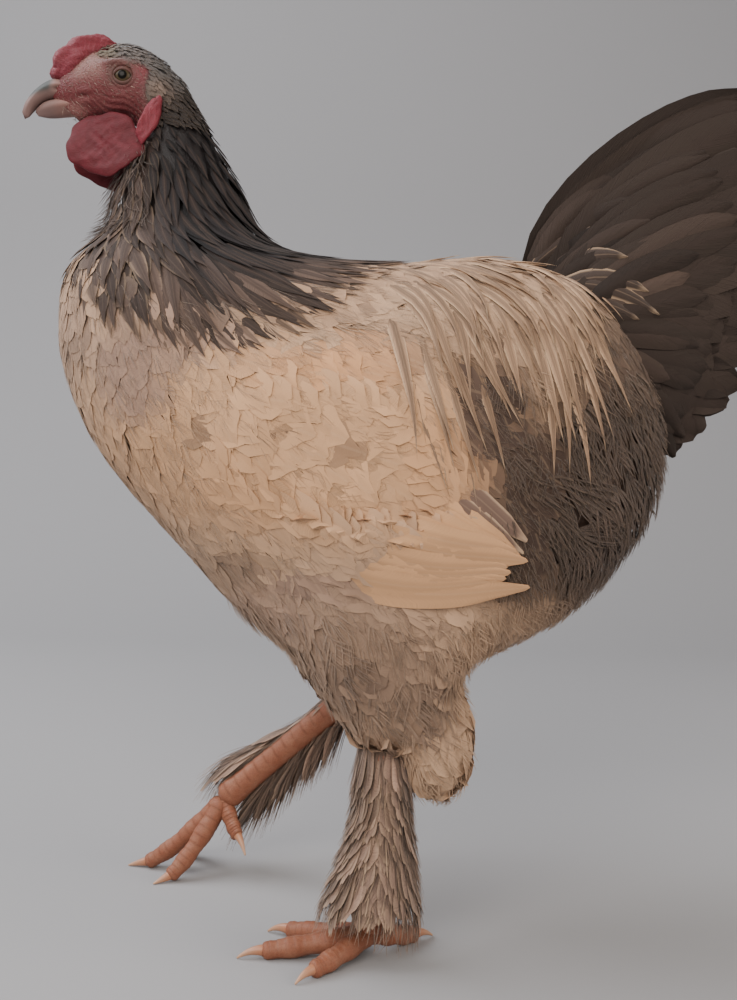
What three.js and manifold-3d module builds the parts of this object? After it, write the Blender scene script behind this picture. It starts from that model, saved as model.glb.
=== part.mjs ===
// A brahma cockerel standing at life size, in millimetres, with +Z up.
// The beak points along -X, the bird's left side faces -Y, and the toes rest on the plane Z = 0.
// Each named piece of the bird is one closed solid, and neighbours keep a small gap.
import * as THREE from "three";
import { mergeVertices } from "three/addons/utils/BufferGeometryUtils.js";
import Module from "manifold-3d";

const wasm = await Module();
wasm.setup();

// Gap between neighbouring solids, and the thickness of a feather vane.
const GAP = 0.3;
const VANE = 0.9;

// Where the middle of the bird's footprint lies in the sculptor's frame.
const FRAME_SHIFT = new THREE.Vector3(-30, -4, 0);

// Torso: a round body about a centre, with its side outline as [degrees, radius] and a width.
const TORSO = {
  x: -20,
  z: 330,
  halfWidth: 112,
  fullness: 2.3,
  outline: [
    [-168, 146], [-150, 128], [-130, 126], [-112, 134], [-90, 150], [-68, 163],
    [-46, 178], [-24, 202], [-6, 220], [14, 218], [34, 203], [52, 168],
    [72, 136], [92, 131], [110, 147], [127, 186], [144, 223], [158, 209], [174, 178],
  ],
};

// Neck: stations from inside the torso up to the skull, as centre x, z and half sizes.
const NECK = [
  { x: -106, z: 405, deep: 51, wide: 63 },
  { x: -124, z: 445, deep: 54, wide: 56 },
  { x: -131, z: 478, deep: 53, wide: 47 },
  { x: -137, z: 510, deep: 45, wide: 36 },
  { x: -138, z: 538, deep: 30, wide: 27 },
  { x: -142, z: 560, deep: 21, wide: 21 },
  { x: -148, z: 576, deep: 17, wide: 18 },
];

// Hackle: where it starts on the neck, how far it hangs at the sides, the shares that it loses
// down the throat and the nape, and the cape of down under it. Its tiers run from the lowest up,
// each as shares of the hang, with the half width and the lift of its feathers.
const HACKLE = {
  root: 0.62,
  drop: 160,
  front: 0.8,
  back: 0.32,
  cape: 1.2,
  fold: 9,
  tiers: [
    { from: 0.46, to: 1.06, count: 12, half: 12.5, lift: 2.6 },
    { from: 0.16, to: 0.76, count: 10, half: 12, lift: 5.2 },
    { from: -0.14, to: 0.44, count: 7, half: 10.5, lift: 7.4 },
  ],
};

// Head: stations from the brow behind the beak to the back of the skull.
const HEAD = [
  { x: -222, z: 571, tall: 8, wide: 7 },
  { x: -216, z: 573, tall: 14, wide: 11 },
  { x: -204, z: 576, tall: 20, wide: 16 },
  { x: -189, z: 579, tall: 25, wide: 20 },
  { x: -173, z: 580, tall: 26.5, wide: 22.5 },
  { x: -158, z: 578, tall: 23.5, wide: 21.5 },
  { x: -146, z: 573, tall: 17, wide: 17 },
  { x: -138, z: 567, tall: 8, wide: 9 },
];
const EYE = { x: -172, z: 579, radius: 8, inset: 14.8, lid: 6.6 };
// Beak: its ridge, mouth line and jaw as [x, z] from the face out to the tip. The upper half hooks
// down over the end of the lower one.
const BEAK = {
  ridge: [[-200, 583], [-214, 583], [-226, 581], [-236, 574.5], [-243, 566], [-246, 558]],
  mouth: [[-200, 568], [-218, 568], [-231, 565.5], [-240, 560], [-243.5, 555]],
  jaw: [[-200, 553], [-217, 555.5], [-230, 555.3], [-238, 555.5]],
  hook: [-245, 552.5],
  halfWidth: 9.5,
};
const COMB = {
  curve: [[-217, 578], [-213, 592], [-201, 602], [-181, 605.5]],
  half: [[0, 9], [0.35, 10.8], [0.75, 8.6], [1, 4]],
};
const WATTLE = {
  x: -184, z: 534, halfLong: 28, halfTall: 22, halfThick: 3.6, out: 18, splay: 12, lean: 10,
};
const LOBE = {
  x: -153, z: 549, halfLong: 6, halfTall: 17, halfThick: 4, out: 24, splay: 0, lean: 0,
};

// Wing: its side outline as [x, z], how far it stands off the torso, and its flight feathers.
const WING = {
  outline: [
    [-124, 352], [-104, 390], [-44, 402], [28, 396], [72, 348], [92, 296],
    [96, 266], [72, 250], [24, 245], [-30, 250], [-76, 272], [-114, 303],
  ],
  puff: 13,
  flights: {
    count: 5, half: 7.4, roots: [[-30, 262], [26, 332]], tips: [[119, 256], [86, 312]], lift: 13,
  },
  coverts: {
    count: 3, half: 11, roots: [[-66, 292], [-6, 356]], tips: [[2, 276], [48, 338]], lift: 15,
  },
};

// Saddle: two tiers of long back feathers, from the lower one up, with the places of their
// roots and tips as [x, y, z] of the first and the last feather.
const SADDLE = {
  halfWidth: 9.6,
  tiers: [
    {
      count: 6,
      lift: 1.5,
      roots: [[14, 66, 440], [128, 58, 432]],
      tips: [[70, 110, 322], [188, 70, 342]],
    },
    {
      count: 5,
      lift: 4.3,
      roots: [[6, 16, 455], [116, 14, 452]],
      tips: [[64, 104, 372], [184, 66, 384]],
    },
  ],
};

// Tail: a fan of pairs of main feathers under two tiers of curved coverts.
const TAIL = {
  base: [118, 405],
  halfBase: 40,
  halfEnd: 5,
  reach: 150,
  outline: [
    [112, 440], [128, 462], [150, 498], [184, 532], [226, 563], [262, 577], [276, 558],
    [270, 512], [252, 470], [238, 428], [228, 386], [208, 352], [170, 354], [126, 380],
  ],
  tiers: [
    { pairs: 6, angles: [68, -30], tips: [220, 122], from: 44, half: 20, lift: 4, bend: [82, 8] },
    { pairs: 4, angles: [64, -22], tips: [158, 104], from: 44, half: 16, lift: 7.5, bend: [48, 10] },
    { pairs: 2, angles: [68, 46], tips: [112, 96], from: 50, half: 10, lift: 10.5, bend: [22, 12] },
  ],
  tilt: 0.13,
};

// Legs. Each ball is where the toes meet, and each toe ends at its own point on the floor.
const SHANK = { radius: 9, hock: 13, ball: 12.5 };
// Boots: each tier's start and end as shares of the shank, how many feathers its first tier has,
// how far round the shank they reach in degrees, and their half width.
const BOOT = { shares: [[0.42, 1.1], [0.1, 0.78]], count: 4, sweep: 112, half: 9 };
const LEGS = {
  left: {
    side: -1,
    hip: [14, -58, 250],
    hock: [14, -57, 139],
    ball: [8, -56, 15],
    thigh: [60, 50],
    full: 1,
    toes: {
      inner: { tip: [-48, -30, 5], halfWidth: 6.6, claw: 13 },
      middle: { tip: [-62, -65, 5], halfWidth: 7.2, claw: 14 },
      outer: { tip: [-28, -92, 5], halfWidth: 6.6, claw: 12 },
      back: { tip: [40, -32, 5], halfWidth: 5.6, claw: 12 },
    },
  },
  right: {
    side: 1,
    hip: [-14, 58, 250],
    hock: [-14, 72, 142],
    ball: [-107, 88, 58],
    thigh: [60, 50],
    full: 0.74,
    toes: {
      inner: { tip: [-145, 64, 4], halfWidth: 6.6, claw: 13 },
      middle: { tip: [-168, 94, 4], halfWidth: 7.2, claw: 14 },
      outer: { tip: [-142, 121, 4], halfWidth: 6.6, claw: 12 },
      back: { tip: [-94, 72, 34], halfWidth: 5.4, claw: 11 },
    },
  },
};

const COLOURS = {
  cream: { color: 0xcdb196, roughness: 0.85 },
  buff: { color: 0xd2ae8c, roughness: 0.8 },
  slate: { color: 0x6b5f59, roughness: 0.85 },
  dark: { color: 0x4a4341, roughness: 0.8 },
  fluff: { color: 0xa3978b, roughness: 0.9 },
  skin: { color: 0xb97f6a, roughness: 0.6 },
  face: { color: 0xb0584f, roughness: 0.6 },
  comb: { color: 0xb23a4a, roughness: 0.55 },
  horn: { color: 0xb59a86, roughness: 0.45 },
  eye: { color: 0x3b2416, roughness: 0.1 },
};

// Small helpers for numbers and points.
const point = (x, y, z) => new THREE.Vector3(x, y, z);
const radians = THREE.MathUtils.degToRad;
const mix = THREE.MathUtils.lerp;
const powered = (value, power) => Math.sign(value) * Math.abs(value) ** power;

// A seeded random number in [-1, 1], so that the feathers vary the same way every time.
let seed = 7;
function vary(amount) {
  seed = (seed * 16807) % 2147483647;
  return amount * ((2 * seed) / 2147483647 - 1);
}

// Smooth value of a table of [x, y] rows at x, as a cubic through neighbouring rows.
function smooth(rows, x, period = 0) {
  const n = rows.length;
  const row = (i) => {
    if (!period) return rows[Math.min(Math.max(i, 0), n - 1)];
    const turns = Math.floor(i / n);
    return [rows[i - turns * n][0] + turns * period, rows[i - turns * n][1]];
  };
  if (period) while (x < rows[0][0]) x += period;
  let i = rows.findLastIndex((r) => r[0] <= x);
  if (!period) i = Math.min(Math.max(i, 0), n - 2);
  const [x0, y0] = row(i);
  const [x1, y1] = row(i + 1);
  const slope = (a, b) => (b[1] - a[1]) / (b[0] - a[0] || 1);
  const step = x1 - x0;
  const m0 = slope(row(i - 1), row(i + 1)) * step;
  const m1 = slope(row(i), row(i + 2)) * step;
  const t = Math.min(Math.max((x - x0) / step, 0), 1);
  return (
    y0 * (2 * t ** 3 - 3 * t * t + 1) +
    m0 * (t ** 3 - 2 * t * t + t) +
    y1 * (3 * t * t - 2 * t ** 3) +
    m1 * (t ** 3 - t * t)
  );
}

// A closed skin through rings of points, with a fan to a single point at each end.
function skin(rings, start, end) {
  const sides = rings[0].length;
  const rows = [Array(sides).fill(start), ...rings, Array(sides).fill(end)];
  const shell = new THREE.SphereGeometry(1, sides, rows.length - 1);
  rows.forEach((row, r) => {
    for (let c = 0; c <= sides; c++) {
      const p = row[c % sides];
      shell.attributes.position.setXYZ(r * (sides + 1) + c, p.x, p.y, p.z);
    }
  });
  return shell;
}

// A ring of points about a centre, with half axes u and v.
function ring(centre, u, v, sides) {
  return Array.from({ length: sides }, (_, i) => {
    const turn = (2 * Math.PI * i) / sides;
    return centre
      .clone()
      .addScaledVector(u, Math.cos(turn))
      .addScaledVector(v, Math.sin(turn));
  });
}

// A rounded tube along a curve: at(t) gives the centre and half sizes across and up.
function tube(curve, size, { sides = 10, steps = 8, up = point(0, 1, 0), grow = 0 } = {}) {
  const rings = [];
  let start;
  let end;
  for (let i = 0; i <= steps; i++) {
    const t = i / steps;
    const centre = curve.getPoint(t);
    const along = curve.getTangent(t);
    const across = up.clone().addScaledVector(along, -up.dot(along)).normalize();
    const third = along.clone().cross(across);
    const [a, b] = size(t);
    rings.push(
      ring(centre, across.multiplyScalar(a + grow), third.multiplyScalar(b + grow), sides),
    );
    if (i === 0) start = centre.clone().addScaledVector(along, -Math.min(a, b) * 0.5 - grow);
    if (i === steps) end = centre.clone().addScaledVector(along, Math.min(a, b) * 0.6 + grow);
  }
  return skin(rings, start, end);
}

// An ellipsoid with half sizes along x, y and z, turned by degrees about Y.
function bulb(centre, half, { sides = 12, rows = 8, tilt = 0, grow = 0 } = {}) {
  const shell = new THREE.SphereGeometry(1, sides, rows);
  shell.scale(half[0] + grow, half[1] + grow, half[2] + grow);
  shell.rotateY(radians(tilt));
  shell.translate(...centre);
  return shell;
}

// A thin closed sheet from rows of points on its middle and the normals there.
function sheet(rows, normals, thick) {
  const cols = rows[0].length;
  const count = rows.length;
  const places = [];
  for (const way of [0.5, -0.5])
    rows.forEach((row, r) =>
      row.forEach((p) => places.push(...p.clone().addScaledVector(normals[r], way * thick))),
    );
  const at = (face, r, c) => face * count * cols + r * cols + c;
  const index = [];
  for (let r = 0; r < count - 1; r++)
    for (let c = 0; c < cols - 1; c++) {
      const corner = (f, dr, dc) => at(f, r + dr, c + dc);
      index.push(corner(0, 0, 0), corner(0, 0, 1), corner(0, 1, 1));
      index.push(corner(0, 0, 0), corner(0, 1, 1), corner(0, 1, 0));
      index.push(corner(1, 0, 0), corner(1, 1, 1), corner(1, 0, 1));
      index.push(corner(1, 0, 0), corner(1, 1, 0), corner(1, 1, 1));
    }
  const rim = (r0, c0, r1, c1) => {
    index.push(at(0, r0, c0), at(1, r1, c1), at(0, r1, c1));
    index.push(at(0, r0, c0), at(1, r0, c0), at(1, r1, c1));
  };
  for (let c = 0; c < cols - 1; c++) {
    rim(0, c, 0, c + 1);
    rim(count - 1, c + 1, count - 1, c);
  }
  for (let r = 0; r < count - 1; r++) {
    rim(r + 1, 0, r, 0);
    rim(r, cols - 1, r + 1, cols - 1);
  }
  const shell = new THREE.BufferGeometry();
  shell.setAttribute("position", new THREE.Float32BufferAttribute(places, 3));
  shell.setIndex(index);
  return shell;
}

// Outlines of a feather as shares of its half width from root to tip.
const POINTED = [0.5, 0.95, 1, 0.72, 0.12];
const ROUNDED = [0.45, 0.9, 1, 0.92, 0.4];
const FLARED = [0.3, 0.6, 0.9, 1, 0.4];

// A feather vane along a spine, facing out along its normals.
function vane(spine, normals, halfWidth, { outline = POINTED, grow = 0 } = {}) {
  const last = spine.length - 1;
  const rows = spine.map((p, i) => {
    const along = spine[Math.min(i + 1, last)].clone().sub(spine[Math.max(i - 1, 0)]).normalize();
    const across = along.clone().cross(normals[i]).normalize();
    const share = smooth(outline.map((s, k) => [k / (outline.length - 1), s]), i / last);
    const half = halfWidth * share + grow;
    const centre = p.clone();
    if (i === 0) centre.addScaledVector(along, -grow);
    if (i === last) centre.addScaledVector(along, grow);
    return [-1, 1].map((way) => centre.clone().addScaledVector(across, way * half));
  });
  return sheet(rows, normals, VANE + 2 * grow);
}

// A vane that lies on a surface: spot(share, lift) is its middle from root (0) to tip (1), and
// its root is sunk by the sink that spot's lift starts from.
// Its tilt raises one edge, so that it lies over its neighbour like a roof tile.
function laidVane(spot, lift, halfWidth, { sink, rows = 5, ends = 0, tilt = 0, ...options }) {
  const spine = [];
  const normals = [];
  const last = rows - 1;
  for (let k = 0; k <= last; k++) {
    const share = k / last;
    const height = share === 0 ? lift - sink : lift - ends * share;
    spine.push(spot(share, height));
    normals.push(spot(share, height + 1).sub(spine[k]).normalize());
  }
  spine.forEach((p, k) => {
    const along = spine[Math.min(k + 1, last)].clone().sub(spine[Math.max(k - 1, 0)]).normalize();
    normals[k].addScaledVector(along.cross(normals[k]), tilt).normalize();
  });
  return (grow) => vane(spine, normals, halfWidth, { ...options, grow });
}

// A closed solid of a shell, with its faces turned outwards.
function solid(shell) {
  const bare = new THREE.BufferGeometry();
  bare.setAttribute("position", shell.attributes.position);
  bare.setIndex(shell.index);
  const closed = mergeVertices(bare, 1e-4);
  const places = closed.attributes.position;
  const faces = new Uint32Array(closed.index.array);
  const [a, b, c] = [point(), point(), point()];
  let volume = 0;
  for (let i = 0; i < faces.length; i += 3) {
    a.fromBufferAttribute(places, faces[i]);
    b.fromBufferAttribute(places, faces[i + 1]);
    c.fromBufferAttribute(places, faces[i + 2]);
    volume += a.dot(b.cross(c));
  }
  if (volume < 0)
    for (let i = 0; i < faces.length; i += 3) [faces[i], faces[i + 1]] = [faces[i + 1], faces[i]];
  const mesh = { numProp: 3, vertProperties: new Float32Array(places.array), triVerts: faces };
  return new wasm.Manifold(new wasm.Mesh(mesh));
}

// The union of forms, each a function of how far it is grown.
const joined = (forms, grow = 0) =>
  forms.map((form) => solid(form(grow))).reduce((all, one) => all.add(one));

// The room that forms take up with the gap around them.
const roomOf = (forms) => joined(forms, GAP).add(joined(forms));

// What is left of a solid after its neighbours' room is cut away, as its largest closed piece.
function clearOf(body, ...rooms) {
  const cut = rooms.reduce((left, room) => left.subtract(room), body);
  return cut.decompose().reduce((best, one) => (one.volume() > best.volume() ? one : best));
}

// Everything under the plane that the bird stands on.
const below = solid(new THREE.BoxGeometry(2000, 2000, 200).translate(0, 0, -100));

const bird = new THREE.Group();
bird.position.copy(FRAME_SHIFT);

// Adds one finished solid as a named mesh.
function add(name, body, colour) {
  const { vertProperties, triVerts } = body.getMesh();
  const shape = new THREE.BufferGeometry();
  shape.setAttribute("position", new THREE.BufferAttribute(vertProperties, 3));
  shape.setIndex(new THREE.BufferAttribute(triVerts, 1));
  shape.computeVertexNormals();
  const mesh = new THREE.Mesh(
    shape,
    new THREE.MeshStandardMaterial({ ...COLOURS[colour], metalness: 0 }),
  );
  mesh.name = name;
  bird.add(mesh);
}

// Torso surface: a point at turn (radians, in the side view) and lean (0 in the middle plane).
const torsoRadius = (turn) => smooth(TORSO.outline, THREE.MathUtils.radToDeg(turn), 360);
function torsoPoint(turn, lean, grow = 0) {
  const power = 2 / TORSO.fullness;
  const reach = (torsoRadius(turn) + grow) * powered(Math.cos(lean), power);
  const y = (TORSO.halfWidth + grow) * powered(Math.sin(lean), power);
  return point(TORSO.x + reach * Math.cos(turn), y, TORSO.z + reach * Math.sin(turn));
}

// How deep a point lies in the torso: 1 on its surface, less inside.
function torsoDepth(p) {
  const [dx, dz] = [p.x - TORSO.x, p.z - TORSO.z];
  const reach = Math.hypot(dx, dz) / torsoRadius(Math.atan2(dz, dx));
  const sideways = Math.abs(p.y) / TORSO.halfWidth;
  return (reach ** TORSO.fullness + sideways ** TORSO.fullness) ** (1 / TORSO.fullness);
}

// Outward direction of the torso at a point.
function torsoNormal(p) {
  const step = 0.5;
  const slope = (dx, dy, dz) =>
    torsoDepth(p.clone().add(point(dx, dy, dz))) - torsoDepth(p.clone().sub(point(dx, dy, dz)));
  return point(slope(step, 0, 0), slope(0, step, 0), slope(0, 0, step)).normalize();
}

// The point moved straight out from the torso's centre to its surface, and off it by lift.
function onTorso(p, lift) {
  const centre = point(TORSO.x, 0, TORSO.z);
  const spot = p.clone().sub(centre).divideScalar(torsoDepth(p)).add(centre);
  return spot.addScaledVector(torsoNormal(spot), lift);
}

// The point moved straight out from the torso's centre where it lies lower than lift, with a
// soft fold where the two surfaces meet.
function lifted(p, lift) {
  const centre = point(TORSO.x, 0, TORSO.z);
  const away = p.clone().sub(centre);
  const surface = away.length() / torsoDepth(p);
  const height = away.length() - surface;
  const over = (height + lift + Math.hypot(height - lift, HACKLE.fold)) / 2;
  return centre.addScaledVector(away.normalize(), surface + over);
}

// The torso's surface point at a place in the side view, on the given side.
function flank(x, z, side, lift = 0) {
  const [dx, dz] = [x - TORSO.x, z - TORSO.z];
  const share = Math.min(Math.hypot(dx, dz) / torsoRadius(Math.atan2(dz, dx)), 0.995);
  const y = TORSO.halfWidth * (1 - share ** TORSO.fullness) ** (1 / TORSO.fullness);
  const p = point(x, side * y, z);
  return p.addScaledVector(torsoNormal(p), lift);
}

// The wing's middle, and how far its outline is from it at each of a round of angles.
const wingMiddle = WING.outline
  .reduce((sum, [x, z]) => sum.add(point(x, 0, z)), point())
  .divideScalar(WING.outline.length);
const wingCurve = new THREE.CatmullRomCurve3(
  WING.outline.map(([x, z]) => point(x, 0, z)),
  true,
);

// How far a place in the side view is from a middle, as a share of the way to a closed outline.
function shareInside(curve, middle) {
  const turn = (x, z) => THREE.MathUtils.radToDeg(Math.atan2(z - middle.z, x - middle.x));
  const far = (x, z) => Math.hypot(x - middle.x, z - middle.z);
  const rows = curve.getPoints(48).map((p) => [turn(p.x, p.z), far(p.x, p.z)]);
  const rim = rows.slice(1).sort((a, b) => a[0] - b[0]);
  return (x, z) => far(x, z) / smooth(rim, turn(x, z), 360);
}
const wingShare = shareInside(wingCurve, wingMiddle);

// How high the wing's pad stands off the torso at a share of the way to its outline.
const padHeight = (share) => 1.2 + WING.puff * Math.sqrt(Math.max(1 - share ** 3, 0));

// How high the wing stands at a place in the side view, fading out past its outline.
function overWing(x, z) {
  const share = wingShare(x, z);
  const fade = THREE.MathUtils.clamp((1.25 - share) / 0.25, 0, 1);
  return fade * Math.max(padHeight(share), 1.2 + 4 * fade);
}

function torsoCore(grow) {
  const [around, rows] = [32, 14];
  const rings = [];
  for (let r = 1; r < rows; r++) {
    const lean = Math.PI * (r / rows - 0.5);
    rings.push(
      Array.from({ length: around }, (_, c) =>
        torsoPoint((2 * Math.PI * c) / around - Math.PI, lean, grow),
      ),
    );
  }
  const pole = (way) => point(TORSO.x, way * (TORSO.halfWidth + grow), TORSO.z);
  return skin(rings, pole(-1), pole(1));
}

// Neck and head cores.
const neckCurve = new THREE.CatmullRomCurve3(NECK.map((s) => point(s.x, 0, s.z)));
const along = (stations, key, t) =>
  smooth(stations.map((s, i) => [i / (stations.length - 1), s[key]]), t);
const headCurve = new THREE.CatmullRomCurve3(HEAD.map((s) => point(s.x, 0, s.z)));
const headCore = (grow) =>
  tube(headCurve, (t) => [along(HEAD, "wide", t), along(HEAD, "tall", t)], {
    sides: 14,
    steps: 8,
    grow,
  });

const eyeBall = (side) => (grow) =>
  bulb([EYE.x, side * EYE.inset, EYE.z], [EYE.radius, EYE.radius, EYE.radius], {
    sides: 10,
    rows: 5,
    grow,
  });

// A raised ring of skin round the eye, as the two lids.
function lidRing(side) {
  return (grow) => {
    const shell = new THREE.TorusGeometry(EYE.lid + 1.2, 1.9 + grow, 5, 12);
    shell.scale(1.12, 0.95, 1).rotateX(Math.PI / 2);
    return shell.translate(EYE.x, side * (EYE.inset + 6.1), EYE.z);
  };
}

// Beak: an upper half that hooks over the lower one.
function beakHalf(upper) {
  const line = (rows) => new THREE.CatmullRomCurve3(rows.map(([x, z]) => point(x, 0, z)));
  const ridge = line(BEAK.ridge);
  const mouth = line(upper ? BEAK.mouth : BEAK.mouth.slice(0, -1));
  const jaw = line(BEAK.jaw);
  const gap = point(0, 0, upper ? 0.2 : -0.2);
  return (grow) => {
    const steps = 8;
    const rings = [];
    for (let i = 0; i < steps; i++) {
      const t = i / (steps - 0.5);
      const inner = mouth.getPoint(t).add(gap);
      const outer = (upper ? ridge : jaw).getPoint(t);
      const centre = inner.clone().lerp(outer, 0.5);
      const tall = outer.sub(centre).multiplyScalar(upper ? 1 : -1);
      tall.setLength(tall.length() + grow);
      const half = BEAK.halfWidth * (1 - t ** 2.2) + 1 + grow;
      rings.push(ring(centre, point(0, half, 0), tall, 10));
    }
    const [x, z] = upper ? BEAK.hook : [-240.5, 557.5];
    return skin(rings, point(-197 + grow, 0, upper ? 575 : 561), point(x - grow, 0, z));
  };
}

// Pea comb: a fleshy roll from the beak's base over the brow, with three rows of low knobs.
const combCurve = new THREE.CatmullRomCurve3(COMB.curve.map(([x, z]) => point(x, 0, z)));
function combForms() {
  const half = (t) => smooth(COMB.half, t);
  const forms = [
    (grow) =>
      tube(combCurve, (t) => [half(t) * 1.05, half(t) * 0.9], { sides: 9, steps: 5, grow }),
  ];
  for (const [lane, knobs] of [[-1, 3], [0, 4], [1, 3]])
    for (let i = 0; i < knobs; i++) {
      const t = (i + 0.6) / knobs;
      const tangent = combCurve.getTangent(t);
      const out = point(-tangent.z, 0, tangent.x);
      const size = half(t) * 0.46 + vary(0.5);
      const rise = half(t) * (lane ? 0.55 : 0.8);
      const base = combCurve.getPoint(t).addScaledVector(out, rise);
      const at = [base.x, lane * half(t) * 0.74 + vary(0.4), base.z];
      forms.push((grow) => bulb(at, [size, size * 0.9, size], { sides: 6, rows: 3, grow }));
    }
  return forms;
}

// Wattle and ear lobe: hanging leaves of skin beside the jaw, thicker at their lower rim.
function leaf({ x, z, halfLong, halfTall, halfThick, out, splay, lean }, side, forward, tilt) {
  return (grow) => {
    const shell = new THREE.SphereGeometry(1, 12, 6);
    const p = point();
    const places = shell.attributes.position;
    for (let i = 0; i < places.count; i++) {
      p.fromBufferAttribute(places, i);
      const rim = 0.55 + 0.6 * Math.hypot(p.x, p.z) ** 2;
      const sag = 1 + 0.05 * Math.cos(5 * Math.atan2(p.z, -p.x));
      places.setXYZ(i, p.x * sag, p.y * rim, p.z * sag);
    }
    shell.scale(halfLong + grow, halfThick + grow, halfTall + grow);
    shell.rotateY(radians(tilt)).rotateZ(side * radians(splay)).rotateX(side * radians(lean));
    return shell.translate(x + forward, side * out, z);
  };
}

// Wing: a padded patch on the flank inside its side outline, sunk a little into the torso.
function wingPad(side) {
  return (grow) => {
    const [around, rows] = [20, 7];
    const place = (share, turn, face) => {
      const edge = wingCurve.getPointAt(turn);
      const spread = share * (1 + grow / 60);
      const [x, z] = ["x", "z"].map((k) => mix(wingMiddle[k], edge[k], spread));
      return flank(x, z, side, face > 0 ? padHeight(share) + grow : -4 - grow);
    };
    const rings = [];
    for (let r = 1; r < rows; r++) {
      const lean = Math.PI * (r / rows);
      const face = Math.cos(lean) >= 0 ? 1 : -1;
      rings.push(
        Array.from({ length: around }, (_, c) => place(Math.sin(lean) ** 0.8, c / around, face)),
      );
    }
    return skin(rings, place(0, 0, 1), place(0, 0, -1));
  };
}

// Rows of folded wing feathers: flights whose tips step up the rear edge, and coverts over them.
function wingFeathers(side) {
  return [WING.flights, WING.coverts].flatMap(({ count, half, roots, tips, lift }) =>
    Array.from({ length: count }, (_, i) => {
      const t = i / (count - 1);
      const [from, to] = [roots, tips].map(([a, b]) => [mix(a[0], b[0], t), mix(a[1], b[1], t)]);
      to[0] += vary(3);
      const spot = (share, height) => {
        const x = mix(from[0], to[0], share);
        const z = mix(from[1], to[1], share) - 4 * Math.sin(Math.PI * share);
        return flank(x, z, side, height);
      };
      return laidVane(spot, lift, half, { outline: ROUNDED, sink: 4, ends: 3 });
    }),
  );
}

// Saddle: long pointed feathers from the back that fall over the flank and the wing's rear.
function saddleForms(side) {
  return SADDLE.tiers.flatMap(({ count, lift, roots, tips }) =>
    Array.from({ length: count }, (_, i) => {
      const t = i / (count - 1);
      const [root, tip] = [roots, tips].map(([a, b]) => point(...a).lerp(point(...b), t));
      const fall = vary(7);
      const mid = point(mix(root.x, tip.x, 0.62), tip.y + 6, mix(root.z, tip.z, 0.3));
      tip.z += fall - 10 * Math.sin(Math.PI * t);
      for (const p of [root, mid, tip]) p.y *= side;
      const arc = new THREE.QuadraticBezierCurve3(root, mid, tip);
      const spot = (share, height) => {
        const p = arc.getPoint(share);
        return onTorso(p, height + overWing(p.x, p.z) * share ** 0.5);
      };
      return laidVane(spot, lift, SADDLE.halfWidth, { sink: lift + 3 });
    }),
  );
}

// A place on the neck's surface: a turn round it (1 in its sine is the front) and a share of its
// length from the torso, with the run below the last share, off by lift.
const neckLength = neckCurve.getLength();
function neckSpot(turn, t, lift) {
  const at = Math.max(t, 0.12);
  const tangent = neckCurve.getTangent(at);
  const across = point(0, 1, 0);
  const third = tangent.clone().cross(across);
  return neckCurve
    .getPoint(at)
    .addScaledVector(across, (along(NECK, "wide", at) + lift) * Math.cos(turn))
    .addScaledVector(third, (along(NECK, "deep", at) + lift) * Math.sin(turn))
    .addScaledVector(tangent, Math.min(t - at, 0) * neckLength);
}

// How far the hackle hangs at a turn: longest at the sides, short down the throat.
const hackleDrop = (turn) => {
  const front = Math.sin(turn);
  return HACKLE.drop * (1 - (front > 0 ? HACKLE.front : HACKLE.back) * front ** 2);
};

// A place on the hackle at a share of its hang, lying on the shoulders and over the wing.
function hackleSpot(turn, share, lift) {
  const t = HACKLE.root - (hackleDrop(turn) * share) / neckLength;
  const p = neckSpot(turn, t, lift);
  const aside = THREE.MathUtils.smoothstep(Math.abs(p.y), 40, 80);
  return lifted(p, lift + overWing(p.x, p.z) * 0.5 * aside);
}

// Neck: one skin from the skull down to the rim of the cape that lies on the shoulders.
function neckSkin(grow) {
  const around = 20;
  const turns = Array.from({ length: around }, (_, c) => (2 * Math.PI * c) / around);
  const rings = [
    ...[1, 0.92, 0.84, 0.76, 0.68].map((t) => turns.map((turn) => neckSpot(turn, t, grow))),
    ...[0, 0.18, 0.36, 0.54, 0.72, 0.9].map((share) =>
      turns.map((turn) => hackleSpot(turn, share, HACKLE.cape * Math.min(4 * share, 1) + grow)),
    ),
    turns.map((turn) => hackleSpot(turn, 0.97, 0.8 + grow)),
    turns.map((turn) => hackleSpot(turn, 0.95, -7 - 2 * grow)),
  ];
  const top = neckCurve.getPoint(1).addScaledVector(neckCurve.getTangent(1), 5 + grow);
  return skin(rings, top, neckCurve.getPoint(0.15));
}

// Hackle: tiers of pointed feathers round the neck, the lowest draped over the shoulders.
function hackleForms() {
  return HACKLE.tiers.flatMap(({ from, to, count, half, lift }, tier) =>
    Array.from({ length: count }, (_, i) => {
      const turn = (2 * Math.PI * (i + 0.5 * (tier % 2))) / count + vary(0.03);
      const end = to + vary(0.04);
      const spot = (share, height) => hackleSpot(turn, mix(from, end, share), height);
      return laidVane(spot, HACKLE.cape + lift, half, { sink: lift + 4, rows: 4, ends: lift / 2 });
    }),
  );
}

// Half the tail's thickness at a place in the side view: thick at its base, thin at its end, and
// rounded off to its outline.
const tailMiddle = point(190, 0, 450);
const tailCurve = new THREE.CatmullRomCurve3(TAIL.outline.map(([x, z]) => point(x, 0, z)), true);
const tailShare = shareInside(tailCurve, tailMiddle);
function tailHalf(x, z) {
  const reach = Math.hypot(x - TAIL.base[0], z - TAIL.base[1]);
  const away = THREE.MathUtils.clamp((reach - 30) / TAIL.reach, 0, 1);
  return mix(TAIL.halfBase, TAIL.halfEnd, away) * Math.sqrt(Math.max(1 - tailShare(x, z) ** 2.6, 0));
}

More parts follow.
